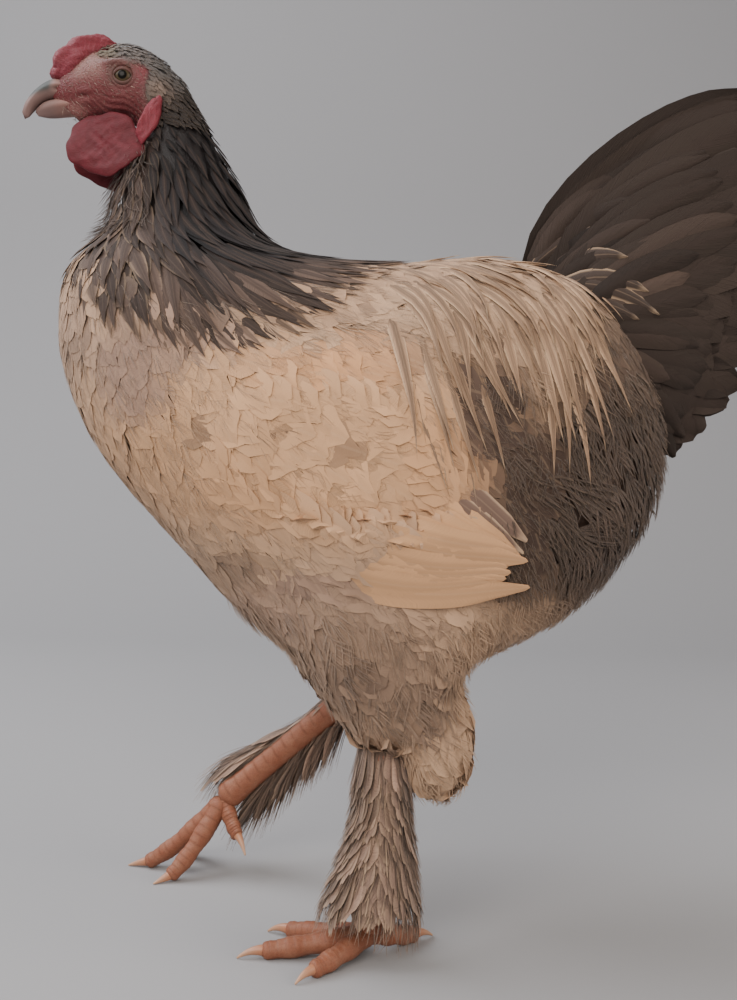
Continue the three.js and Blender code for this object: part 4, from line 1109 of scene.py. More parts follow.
def build_saddle(look):
    """Saddle: long narrow feathers from the back in two falls on each side, with a gap
    between, and a few dark pale-edged ones behind them."""
    chance = np.random.default_rng(31)
    roots = roots_on_skin(
        chance, look.saddle_gap * 1000,
        lambda p: (p[:, 0] > -10) & (p[:, 0] < 112) & (p[:, 2] > 402) & (np.abs(p[:, 1]) < 80), 5,
    )
    x, y, _ = roots.T
    across = ease(np.abs(y), 6, 66)
    gap = np.exp(-(((x - 60) / 13) ** 2)) * across
    count = len(roots)
    length = mix(76, 112, across) * mix(1.16, 1, ease(x, 40, 60)) * (1 - 0.6 * gap)
    length *= chance.uniform(0.8, 1.08, count)
    tilt = chance.uniform(0.6, 6.5, count)
    tone = mix(np.array(look.saddle), np.array(look.breast), chance.random((count, 1)) * 0.5)
    part = coat_part(chance, look, roots, length, 3.9, lambda share: mix(-3.5, tilt, share**0.7),
                     rows=11, cols=5, outline=LANCE, yaw=0.09, bend=0.16, shaft=0.45, rim=0.6,
                     cup=0.8, tone=tone, way=saddle_way, amount=0.1, fray=0.02)
    laced = laced_part(chance, look)
    feather_piece("saddle", [part, laced], plumage("saddle", look))


def vane_row(chance, side, count, row, tone):
    """Long feathers side by side on one wing, from the row's line of starts to its line of
    tips."""
    share = ((np.arange(count) + 0.5) / count)[:, None]
    first, last = (mix(*(np.array([x, 100 * side, z]) for x, z in row[key]), share)
                   for key in ("starts", "tips"))
    goal = (last - first) * (1, 0, 1)
    height = mix(row["high"], row["high"] - 2.4, share[:, 0])
    return coat_part(chance, None, first, np.linalg.norm(goal, axis=1), row["half"],
                     lambda s: mix(-3, height, min(s * 2, 1)), rows=14, cols=7, yaw=0.01,
                     outline=QUILLED, way=lambda p: goal, shaft=0.15, rim=row["rim"], cup=0.5,
                     amount=0.03, thick=0.15, fray=0.01, tone=np.tile(tone, (count, 1)))


def build_wings(look):
    """Wings: coverts over flight feathers on each folded wing, and a few grey ones behind."""
    shade = plumage("wing", look, 130.0, streaks=0.1, relief=0.00012)
    for name, side in (("left", -1), ("right", 1)):
        chance = np.random.default_rng(41 + side)
        roots = roots_on_skin(chance, 8.6, lambda p: (wing_share(p[:, 0], p[:, 2]) < 0.84)
                              & (p[:, 1] * side > 45) & (p[:, 0] < 56), 5)
        tilt = chance.uniform(0.2, 0.5, len(roots))
        coverts = coat_part(chance, look, roots, 40, 13,
                            lambda share: mix(-2.4, tilt, 1 - (1 - share) ** 2.4), rows=6,
                            cols=7, yaw=0.2, rim=0.03, outline=BROAD, fray=0.12, cup=0.1,
                            thick=0.08, amount=0.05)
        flights = vane_row(chance, side, look.flights, FLIGHTS, np.array(look.peach))
        behind = vane_row(chance, side, GREY_FLIGHTS["count"], GREY_FLIGHTS,
                          np.array(look.grey_and_shade) * 0.55)
        feather_piece(f"wing_coat_{name}", [coverts, behind, flights], shade,
                      [f"wing_{name}"])


def tail_half(x, z):
    """Half thickness of the tail's fan at each place of its side view."""
    t = np.clip((np.hypot(x - TAIL["base"][0], z - TAIL["base"][1]) - 30) / TAIL["reach"], 0, 1)
    rim = np.sqrt(np.maximum(1 - np.minimum(tail_share(x, z), 1) ** 2.6, 0))
    return mix(TAIL["half_base"], TAIL["half_end"], t) * rim


def tail_group(chance, angles, start, tips, half, lift, sag, side, tone, rows, cols=5,
               amount=0.15):
    """Feathers of the tail on one side. Each springs from the tail's base at its angle, runs from
    start to its tip's distance, and falls below that line by sag times the share squared."""
    count = len(angles)
    share = steps(rows)[None]
    start, tips, sag, lift = (np.broadcast_to(v, count)[:, None] for v in (start, tips, sag, lift))
    along = mix(start, tips, share)
    fall = sag * share**2
    c, s = np.cos(angles)[:, None], np.sin(angles)[:, None]
    fore = ease(angles, 0.7, 1.3)[:, None]
    x = TAIL["base"][0] - 14 * fore + along * c + fall * s
    z = TAIL["base"][1] + 15 * fore + along * s - fall * c
    y = side * (tail_half(x, z) + lift * (1 - 0.4 * share))
    lines = np.stack([x, y, z], -1)
    outs = unit(np.stack([np.zeros_like(x), np.full_like(x, side), 0.1 * side * s + 0 * x], -1))
    options = dict(half=np.broadcast_to(half, count), outline=OVAL, cols=cols, cup=2.0, thick=0.35)
    tones = varied(chance, np.tile(np.array(tone), (count, 1)), amount)
    return lines[:, 0], lines, outs, options, tones, marks_of(chance, count, 0.2, 0.0)


def build_tail(look):
    """Tail: main feathers in a fan, with rows of curved coverts over both of its sides."""
    chance = np.random.default_rng(53)
    parts = []
    for side in (-1, 1):
        def angles(high, low, count, noise=0.05):
            even = np.linspace(high, low, count)
            return np.radians(even) + chance.normal(0, noise, count)

        main = angles(80, -30, TAIL["main"], 0.02)
        reach = smooth([[-30, 118], [0, 146], [30, 186], [50, 212], [66, 206], [80, 184]],
                       np.degrees(main))
        parts.append(tail_group(chance, main, 20, reach, 17, 1,
                                8 + 110 * np.clip(main / 1.4, 0, 1) ** 2, side,
                                rows=14, tone=look.tail))
        count = TAIL["over"]
        over = angles(80, -26, count)
        reach = smooth([[-26, 104], [10, 124], [40, 150], [66, 158], [80, 150]], np.degrees(over))
        parts.append(tail_group(chance, over, 14, reach, 11, chance.uniform(2, 6, count),
                                10 + 80 * np.clip(over / 1.4, 0, 1) ** 2, side, rows=12,
                                tone=look.tail))
        count = TAIL["small"]
        small = angles(86, -40, count, 0.1)
        parts.append(tail_group(chance, small, chance.uniform(-10, 40, count),
                                chance.uniform(74, 116, count), 8.5, chance.uniform(3, 9, count),
                                chance.uniform(8, 34, count) + 30 * ease(small, 0.8, 1.5), side,
                                rows=9, cols=5, tone=look.tail, amount=0.3))
    feather_piece("tail_coat", parts, plumage("tail", look, 110.0, 0.0), ["tail"])


def build_tail_core(look):
    """Core of the tail between its feathers: a thin lens inside the fan."""
    turn = np.radians(np.arange(0, 360, 6))
    middle = np.array(TAIL["middle"], float)
    far = np.c_[np.cos(turn), np.sin(turn)] * 500
    edge = far / tail_share(middle[0] + far[:, 0], middle[1] + far[:, 1])[:, None]
    rings = []
    for share, side in ((0.2, -1), (0.5, -1), (0.74, -1), (0.8, 0), (0.74, 1), (0.5, 1), (0.2, 1)):
        x, z = (middle + edge * share).T
        rings.append(np.c_[x, side * 0.6 * tail_half(x, z), z])
    half = tail_half(*middle) * 0.6
    points, quads, tris = loft(np.stack(rings), (middle[0], -half, middle[1]),
                               (middle[0], half, middle[1]))
    shade = material("tail core", rgba(look.tail), 0.9)
    make_piece("tail_core", points, outward(points, quads, tris), shade)


def build_fluff(look):
    """Fluff: soft narrow wisps on thighs, belly and below the tail."""
    chance = np.random.default_rng(67)
    shade = plumage("fluff", look, 40.0, 0.2)
    regions = {
        "fluff_left": (lambda p: (p[:, 2] < 240) & (p[:, 1] < 0), 7.6),
        "fluff_right": (lambda p: (p[:, 2] < 240) & (p[:, 1] >= 0), 8.4),
        "fluff_rear": (lambda p: (p[:, 0] > 74) & (p[:, 2] < 400) & (p[:, 2] >= 240), 9.2),
    }
    for name, (inside, gap) in regions.items():
        roots = roots_on_skin(chance, gap, inside, 4)
        tilt = np.repeat(chance.uniform(0, 4.5, len(roots)), 11)
        plumes = coat_part(chance, look, roots, 34, 0.9, lambda share: mix(-5, tilt, share),
                           rows=5, outline=WISP, yaw=0.3, bend=0.35, cup=0.1, amount=0.16,
                           thick=0.2, group=11, fan=0.6)
        feather_piece(name, [plumes], shade)


def build_head_coat(look):
    """Small feathers of the crown, the ear and the back of the head."""
    chance = np.random.default_rng(71)
    roots = roots_on_skin(chance, 2.0, lambda p: (p[:, 2] > 548) & (bare(p) < 0.55)
                          & (p[:, 0] < -120), 4)
    tilt = chance.uniform(0.0, 0.5, len(roots))
    part = coat_part(chance, look, roots, 7, 1.3, lambda share: mix(-1.0, tilt, share), rows=4,
                     outline=LANCE, yaw=0.16, cup=0.1, thick=0.08, amount=0.1)
    feather_piece("head_coat", [part], plumage("head", look))


# Head pieces.
def build_eyes(look):
    """Eyes: balls with a black pupil and a brown iris under a clear coat."""
    shade = material("eye", lambda tree: attribute(tree, "coat"), 0.35,
                     **{"Coat Weight": 0.12, "Coat Roughness": 0.05, "Specular IOR Level": 0.1})
    for name, side in (("left", -1), ("right", 1)):
        centre = np.array([EYE["x"], side * EYE["inset"], EYE["z"]])
        tilt = np.radians(np.linspace(3, 177, 60))[:, None]
        turn = np.radians(np.arange(0, 360, 7.5))[None]
        d = np.stack(np.broadcast_arrays(np.sin(tilt) * np.cos(turn), side * np.cos(tilt),
                                         np.sin(tilt) * np.sin(turn)), -1)
        d[..., 1] *= 1 + 0.04 * ease(d[..., 1] * side, 0.8, 1)
        points, quads, tris = loft(centre + d * EYE["radius"], centre + (0, side * 8.3, 0),
                                   centre - (0, side * 8, 0))
        away = np.hypot(points[:, 0] - centre[0], points[:, 2] - centre[2])
        tone = np.tile(np.array(look.iris), (len(points), 1))
        tone *= mix(1, 0.3, ease(away, 4.0, 5.6))[:, None]
        tone *= mix(0.03, 1, ease(away, 2.9, 3.2))[:, None]
        make_piece(f"eye_ball_{name}", points, outward(points, quads, tris), shade,
                   tones=tone, replaces=[f"eye_{name}"])


def build_lids(look):
    """Lids: a soft rim of skin round each eye, lower at the top."""
    shade = flesh("lid", look.lid, look.face, 1500.0, 0.0001)
    turn = np.radians(np.arange(0, 360, 4))
    rim = np.radians(np.arange(0, 360, 30))
    for name, side in (("left", -1), ("right", 1)):
        long = 6.2 + 0.5 * np.cos(turn) ** 8
        reach = np.c_[long * np.cos(turn), np.where(np.sin(turn) > 0, 4.6, 5.4) * np.sin(turn)]
        away = np.hypot(*reach.T)
        y = EYE["inset"] + np.sqrt(8.3**2 - away**2)
        centre = np.c_[EYE["x"] + reach[:, 0], side * y, EYE["z"] + reach[:, 1]]
        out = np.c_[reach[:, 0], side * (y - EYE["inset"]), reach[:, 1]]
        out = unit(out)
        along = unit(np.roll(centre, -1, 0) - np.roll(centre, 1, 0))
        across = np.cross(out, along)
        ring = (centre[:, None] + 0.9 * out[:, None] * np.cos(rim)[None, :, None]
                + 1.5 * across[:, None] * np.sin(rim)[None, :, None])
        count, sides = ring.shape[:2]
        grid = np.arange(count * sides).reshape(count, sides)
        quads = np.stack([grid, np.roll(grid, -1, 1), np.roll(np.roll(grid, -1, 1), -1, 0),
                          np.roll(grid, -1, 0)], -1).reshape(-1, 4)
        points = ring.reshape(-1, 3)
        quads, _ = outward(points, quads, np.zeros((0, 3), int))
        make_piece(f"lid_{name}", points, [quads], shade)


def build_beak(look):
    """Beak: two horn halves that meet at the gape, the upper one longer and hooked, with
    nostrils."""
    shade = material("horn", lambda tree: attribute(tree, "coat"), 0.6,
                     bump=lambda tree: object_noise(tree, 700.0), bump_depth=0.00008,
                     **{"Specular IOR Level": 0.15})
    t = np.linspace(0, 1, 40)[:-1]
    turn = np.radians(np.arange(0, 360, 10))
    c, s = np.cos(turn), np.sin(turn)

    def line(key, last=None):
        return catmull([(x, 0, z) for x, z in BEAK[key][:last]], t)

    for name, upper in (("upper", True), ("lower", False)):
        inner = line("mouth") if upper else line("mouth", -1)
        outer = line("ridge" if upper else "jaw")
        inner = inner + (0, 0, 0.1 if upper else -0.1)
        half = BEAK["half"] * (1 - t**2.4) + 1.1
        swell = np.sin(np.pi * np.clip(s, 0, 1) ** 0.7 / 2)
        y = half[:, None] * (np.sign(c) * np.abs(c) ** 0.8 * (1 - 0.3 * swell**2))[None]
        rings = mix(inner[:, None], outer[:, None], ((1 + s) / 2)[None, :, None])
        rings[..., 1] = y
        x, z = rings[..., 0], rings[..., 2]
        hole = np.exp(-(((x + 219) / 2.8) ** 2) - ((z - 573.6 - 0.15 * (x + 219)) / 1.1) ** 2)
        hole *= upper * ease(np.abs(y), 2, 4)
        groove = np.exp(-(((z - 570.3 - 0.12 * (x + 219)) / 0.7) ** 2)) * ease(x, -228, -220)
        rings[..., 1] *= 1 - 0.3 * hole - 0.06 * groove * upper
        tip = inner[-1] * 0.5 + outer[-1] * 0.5 + ((-0.6, 0, -3.2) if upper else (-1.5, 0, 0))
        points, quads, tris = loft(rings, (-197, 0, 575 if upper else 561), tip)
        x, z = points[:, 0], points[:, 2]
        ridge = ease(z - 571.5 - 0.22 * (x + 226), -2.5, 2.5) * ease(x, -221, -226) * upper
        tone = mix(np.array(look.horn), np.array(look.horn_dark), ridge[:, None])
        tone = mix(np.array(look.lore), tone, ease(x, -214, -226)[:, None])
        # The nostril is darkened as painted shade in its opening, over a shallow dent.
        tone *= 1 - 0.9 * np.r_[hole.ravel(), 0, 0][:, None]
        make_piece(f"beak_horn_{name}", points, outward(points, quads, tris), shade,
                   tones=tone, replaces=[f"beak_{name}"])


def build_comb(look):
    """Comb: a fleshy roll from the beak over the brow, with three rows of lumps and a skirt that
    spreads over the forehead."""
    t = np.linspace(0, 1, 72)
    centres = catmull([(x, 0, z) for x, z in COMB["curve"]], t)
    half = smooth(COMB["half"], t)
    close = np.sqrt(1 - (2 * np.clip(t, 0.015, 0.985) - 1) ** 8)
    turn = np.radians(np.arange(0, 360, 6))
    along = unit(np.gradient(centres, axis=0))
    up = np.cross(along, (0, 1, 0))
    up *= np.sign(up[:, 2:] + up[:, :1] * -0.2)
    bumps = np.zeros((72, len(turn)))
    for lane, knobs, phase in ((-52, 3, 0.3), (0, 4, 0.1), (52, 3, 0.45)):
        across = np.exp(-(((np.degrees(turn) - 90 - lane + 180) % 360 - 180) / 24) ** 2)
        beads = np.abs(np.sin(np.pi * (knobs * t + phase))) ** 0.7
        bumps += across[None] * beads[:, None] * (3.4 if lane == 0 else 2.6)
    grains = 0.35 * np.sin(9 * turn[None] + 40 * t[:, None]) * np.sin(70 * t[:, None] - 4 * turn)
    size = (half * close)[:, None] + (bumps + grains) * close[:, None]
    across = np.array([0, 1.0, 0])
    skirt = ease(-np.sin(turn), -0.2, 0.8)[None]
    rings = (centres[:, None] + across * (size * (1 + 0.5 * skirt) * np.cos(turn))[..., None]
             + up[:, None] * (size * (0.9 + 0.35 * skirt) * np.sin(turn))[..., None])
    points, quads, tris = loft(rings, centres[0] - along[0] * 0.6, centres[-1] + along[-1] * 0.6)
    shade = flesh("comb", look.comb, look.comb_pale, 1300.0, 0.0004, 0.6)
    make_piece("comb_flesh", points, outward(points, quads, tris), shade,
               replaces=["comb"])


def leaf_piece(name, shape, side, forward, shade, node_name, wrinkle):
    """A hanging leaf of skin: an oval plate with a thicker rim, folds and a wavy edge."""
    tilt = np.radians(np.linspace(2, 178, 64))[:, None]
    turn = np.radians(np.arange(0, 360, 5))[None]
    x, y, z = np.broadcast_arrays(np.sin(tilt) * np.cos(turn), np.cos(tilt),
                                  np.sin(tilt) * np.sin(turn))
    away = np.hypot(x, z)
    wave = 1 + 0.05 * np.cos(5 * turn) + 0.02 * np.cos(11 * turn + 1)
    folds = wrinkle * (np.sin(9 * x + 3 * np.sin(4 * z)) * np.sin(7 * z + 2 * x) + 0.4
                       * np.sin(23 * x + 4 * z) * np.sin(19 * z - 5 * x))
    px = x * wave * shape["long"]
    pz = z * wave * shape["tall"]
    py = (y * (0.55 + 0.6 * away**2) * shape["thick"] + folds * (1 - 0.5 * away)
          * np.sign(y) * np.abs(y) ** 0.5 + 1.4 * np.sin(3 * turn + 0.6) * away**3)
    a, b = math.radians(shape["tilt"]), side * math.radians(shape["splay"])
    qx = px * math.cos(a) + pz * math.sin(a)
    qz = -px * math.sin(a) + pz * math.cos(a)
    ry = qx * math.sin(b) + py * math.cos(b)
    lean = side * math.radians(shape["lean"])
    rings = np.stack([qx * math.cos(b) - py * math.sin(b) + shape["x"] + forward,
                      ry * math.cos(lean) - qz * math.sin(lean) + side * shape["out"],
                      ry * math.sin(lean) + qz * math.cos(lean) + shape["z"]], -1)
    points, quads, tris = loft(rings, rings[0].mean(0), rings[-1].mean(0))
    make_piece(name, points, outward(points, quads, tris), shade,
               replaces=[node_name])


def build_wattles(look):
    """Wattles and ear lobes, one of each on both sides of the jaw."""
    wattle = flesh("wattle", look.wattle, look.comb, 1100.0, 0.0002, 0.6)
    lobe = flesh("lobe", look.lobe, look.wattle, 1200.0, 0.0002, 0.5)
    for name, side, forward in (("left", -1, 0), ("right", 1, -3)):
        leaf_piece(f"wattle_flesh_{name}", WATTLE, side, forward, wattle, f"wattle_{name}", 0.7)
        leaf_piece(f"lobe_flesh_{name}", LOBE, side, 0, lobe, f"earlobe_{name}", 0.4)


# Legs.
def scaled_tube(centres, a, b, plates, up, sides=36, depth=0.55):
    """A tube with overlapping plates down its front: each one swells towards its lower edge."""
    rows = len(centres)
    along = unit(np.gradient(centres, axis=0))
    across = unit(np.array(up, float) - along * (along @ np.array(up, float))[:, None])
    third = np.cross(along, across)
    turn = np.linspace(0, 2 * np.pi, sides, endpoint=False)
    t = np.linspace(0, 1, rows)[:, None]
    front = ease(np.cos(turn), -0.15, 0.35)[None]
    saw = (t * plates) % 1
    plate = (saw**1.5 - 0.4) * ease(1 - saw, 0, 0.18)
    small = np.sin(turn * 9)[None] * np.sin(2 * np.pi * plates * 1.6 * t)
    swell = depth * (front * plate + (1 - front) * 0.5 * small)
    rings = (centres[:, None]
             + (across[:, None] * ((a[:, None] + swell) * np.cos(turn))[..., None])
             + (third[:, None] * ((b[:, None] + swell) * np.sin(turn))[..., None]))
    points, quads, tris = loft(rings, centres[0], centres[-1])
    groove = np.r_[((front * ease(saw, 0.86, 1.0) + front * ease(saw, 0.1, 0.0)) * 0.5).ravel(),
                   0, 0]
    return points, outward(points, quads, tris), groove


def toe_path(ball, tip, t):
    start, end = np.array(ball, float), np.array(tip, float)
    knee = mix(start, end, 0.62)
    knee[2] = mix(end[2], start[2], 0.2)
    return bezier((start, knee, end), t)


def build_legs(look):
    """Legs: scaled shanks and toes with horn claws."""
    skin = flesh("shank", lambda tree: attribute(tree, "coat"), look.shank_pale, 1600.0, 0.00012,
                 0.5)
    horn = material("claw", lambda tree: attribute(tree, "coat"), 0.4,
                    bump=lambda tree: object_noise(tree, 500.0), bump_depth=0.00008)
    base = np.array(look.shank)
    for name, leg in LEGS.items():
        t = np.linspace(0, 1, 130)
        centres = mix(np.array(leg["hock"], float), np.array(leg["ball"], float), t[:, None])
        girth = smooth(SHANK_GIRTH, t) * np.sqrt(1 - (2 * np.clip(t, 0.01, 0.99) - 1) ** 20)
        points, faces, groove = scaled_tube(centres, girth, girth * 0.94, 13, (-1, 0, 0))
        tone = base * (1 - 0.6 * groove[:, None])
        make_piece(f"shank_skin_{name}", points, faces, skin, tones=tone,
                   replaces=[f"shank_{name}"])
        for toe, (tip, half, claw) in leg["toes"].items():
            t = np.linspace(0, 1, 90)
            centres = toe_path(leg["ball"], tip, t)
            pad = (1 + 0.07 * np.cos(6 * np.pi * t)) * np.sqrt(
                1 - (2 * np.clip(t, 0.01, 0.99) - 1) ** 16)
            a = 6.9 * mix(1.1, 0.86, t) * pad
            b = half * mix(1.12, 0.8, t) * pad
            points, faces, groove = scaled_tube(centres, a, b, 11, (0, 0, 1), 30, 0.45)
            points[:, 2] = np.maximum(points[:, 2], 0.2)
            tone = base * (1 - 0.6 * groove[:, None])
            make_piece(f"toe_skin_{toe}_{name}", points, faces, skin, tones=tone,
                       replaces=[f"toe_{toe}_{name}"])
            heading = unit(centres[-1] - centres[-3])
            start = np.array(tip, float) - heading * 3
            middle = start + heading * claw * 0.75 + (0, 0, 2.5)
            end = start + heading * (claw + 5)
            end[2] = max(end[2] - 5, 0.8)
            t = np.linspace(0, 1, 24)
            points, quads, tris = tube(bezier((start, middle, end), t), mix(3.6, 0.5, t),
                                       mix(4.1, 0.6, t), sides=20)
            tone = np.repeat(mix(np.array(look.claw), np.array(look.claw_tip), t[:, None]), 20, 0)
            tone = np.r_[tone, tone[:1], tone[-1:]]
            make_piece(f"claw_horn_{toe}_{name}", points, (quads, tris), horn, tones=tone,
                       replaces=[f"claw_{toe}_{name}"])


def boot_spot(leg, turn, share, lift):
    """Point on the boot's bell at a turn about the shank, a share of its height, and a lift."""
    (kx, ky, kz), (bx, by, bz), side = leg["hock"], leg["ball"], leg["side"]
    control = (
        (mix(kx, bx, 0.12), mix(ky, by, 0.12) + side * 2, mix(kz, bz, 0.12)),
        (mix(kx, bx, 0.5) + 4, mix(ky, by, 0.5) + side * 8, mix(kz, bz, 0.5)),
        (bx - 2, by + side * 12, bz + 6),
    )
    turn, share, lift = np.broadcast_arrays(turn, share, lift)
    t = np.clip(share, 0, 1)
    a, b, c = (np.array(p, float) for p in control)
    shape = t.shape
    centre = bezier(control, t.ravel()).reshape(*shape, 3)
    tangent = unit((b - a) * (1 - t)[..., None] + (c - b) * t[..., None])
    length = np.linalg.norm(c - a)
    across = unit(np.array([0.0, 1, 0]) - tangent * tangent[..., 1:2])
    third = np.cross(tangent, across)
    girth = [[0, 19], [0.3, 19], [0.6, 25], [0.9, 32], [1, 31]]
    half = smooth(girth, t) * leg["full"] + lift
    return (centre + tangent * ((share - t) * length)[..., None]
            + across * (half * 0.55 * np.cos(turn))[..., None]
            + third * (half * np.sin(turn))[..., None])


def build_boots(look):
    """Boots: flared feathers in tiers down each shank's outer side, with wisps between, which
    droop more on the raised leg."""
    shade = plumage("boot", look, 26.0, 0.2)
    for name, leg in LEGS.items():
        chance = np.random.default_rng(83 + leg["side"])
        outside = 0 if leg["side"] > 0 else np.pi
        droop = 0 if leg["side"] < 0 else 30
        parts = []
        for count, rows, cols, half, long, low, high, sweep, outline, fray in (
            (190, 9, 9, 6.5, 46, -0.2, 0.66, 130, FAN, 0.1),
            (1500, 5, 3, 0.8, 40, -0.22, 0.74, 150, WISP, 0),
        ):
            turn = outside + np.radians(chance.uniform(-sweep, sweep, count))
            start = chance.uniform(low, high, count)
            share = steps(rows)[None]
            step = long * chance.uniform(0.8, 1.15, count) / (100 + 25 * leg["full"])
            along = start[:, None] + step[:, None] * share
            lift = chance.uniform(-1, 3, count)[:, None] * share + mix(-5, 1.5, share)
            swing = turn[:, None] + chance.normal(0, 0.2, count)[:, None] * share
            lines = boot_spot(leg, swing, along, lift)
            outs = unit(boot_spot(leg, swing, along, lift + 2) - lines)
            lines[..., 2] -= droop * share**2 * chance.uniform(0.2, 1, (count, 1))
            lines[..., 2] = np.maximum(lines[..., 2], 0.8)
            tone = mix(np.array(look.boot), np.array(look.grey_and_shade), chance.random((count, 1)) * 0.5)
            options = dict(half=half * chance.uniform(0.8, 1.2, count), outline=outline, cols=cols,
                           cup=0.8 if fray else 0.1, thick=0.16)
            if fray:
                teeth = 0.5 * (np.arange(cols) % 2) + chance.random((count, cols))
                options["fray"] = 0.2 * np.linspace(-1, 1, cols) ** 2 + fray * teeth
            parts.append((lines[:, 0], lines, outs, options, varied(chance, tone, 0.22),
                          marks_of(chance, count, 0.5, 0.15)))
        feather_piece(f"boot_coat_{name}", parts, shade)


# Stage.
def build_stage(look):
    """Stage: plain floor and backdrop, soft lights and the photograph's camera."""
    shade = material("floor", rgba(look.floor), 0.8)
    mesh = bpy.data.meshes.new("floor")
    depth = np.concatenate([[-4.0], 1.2 + 1.0 * np.sin(np.radians(np.arange(0, 91, 10))), [2.2]])
    rise = np.concatenate([[0.0], 1.0 - 1.0 * np.cos(np.radians(np.arange(0, 91, 10))), [4.0]])
    side = np.array([-5.0, 5.0])
    points = np.stack(np.broadcast_arrays(side[None], depth[:, None], rise[:, None]), -1)
    grid = np.arange(points.size // 3).reshape(-1, 2)
    quads = np.stack([grid[:-1, 0], grid[:-1, 1], grid[1:, 1], grid[1:, 0]], -1)
    mesh.from_pydata(points.reshape(-1, 3).tolist(), [], quads.tolist())
    mesh.shade_smooth()
    mesh.materials.append(shade)
    floor = bpy.data.objects.new("floor", mesh)
    bpy.context.scene.collection.objects.link(floor)
    lights = (
        ("sky", (-1.6, 0.2, 2.2), 2.6, look.sky_power, (0.95, 0.96, 1.0)),
        ("front", (-0.7, -2.1, 1.5), 2.0, look.front_power, (1.0, 0.93, 0.86)),
        ("right", (1.7, -0.6, 0.9), 1.4, look.front_power * 0.35, (1.0, 0.88, 0.76)),
    )
    for name, place, size, power, colour in lights:
        light = bpy.data.lights.new(name, "AREA")
        light.shape = "DISK"
        light.size = size
        light.energy = power
        light.color = colour
        lamp = bpy.data.objects.new(name, light)
        aim = Matrix.Translation(place) @ (
            (Vector((0, 0, 0.33)) - Vector(place)).to_track_quat("-Z", "Y").to_matrix().to_4x4()
        )
        lamp.matrix_world = aim
        bpy.context.scene.collection.objects.link(lamp)
    world = bpy.data.worlds.new("studio")
    world.use_nodes = True
    back = world.node_tree.nodes["Background"]
    back.inputs["Color"].default_value = (0.95, 0.92, 0.9, 1)
    back.inputs["Strength"].default_value = 0.4
    bpy.context.scene.world = world
    pitch, roll = math.radians(1.87), math.radians(1.43)
    up0 = Vector((0, math.sin(pitch), math.cos(pitch)))
    forward = Vector((0, math.cos(pitch), -math.sin(pitch)))
    right = math.cos(roll) * Vector((1, 0, 0)) + math.sin(roll) * up0
    up = -math.sin(roll) * Vector((1, 0, 0)) + math.cos(roll) * up0
    data = bpy.data.cameras.new("camera")
    data.lens = 40.79
    data.sensor_width = 36.0
    camera = bpy.data.objects.new("camera", data)
    turn = Matrix((right, up, -forward)).transposed().to_4x4()
    camera.matrix_world = Matrix.Translation((-0.030, -0.794, 0.323)) @ turn
    bpy.context.scene.collection.objects.link(camera)
    bpy.context.scene.camera = camera


# Sizes and colours.
def colour(words, *values):
    return FloatVectorProperty(name=words.capitalize(), description=f"Colour of the {words}",
                               default=values, size=3, min=0.0, max=1.0, subtype="COLOR")


def length(words, metres):
    return FloatProperty(name=words.capitalize(), description=f"Length of the {words}",
                         default=metres, min=0.0, unit="LENGTH", subtype="DISTANCE")


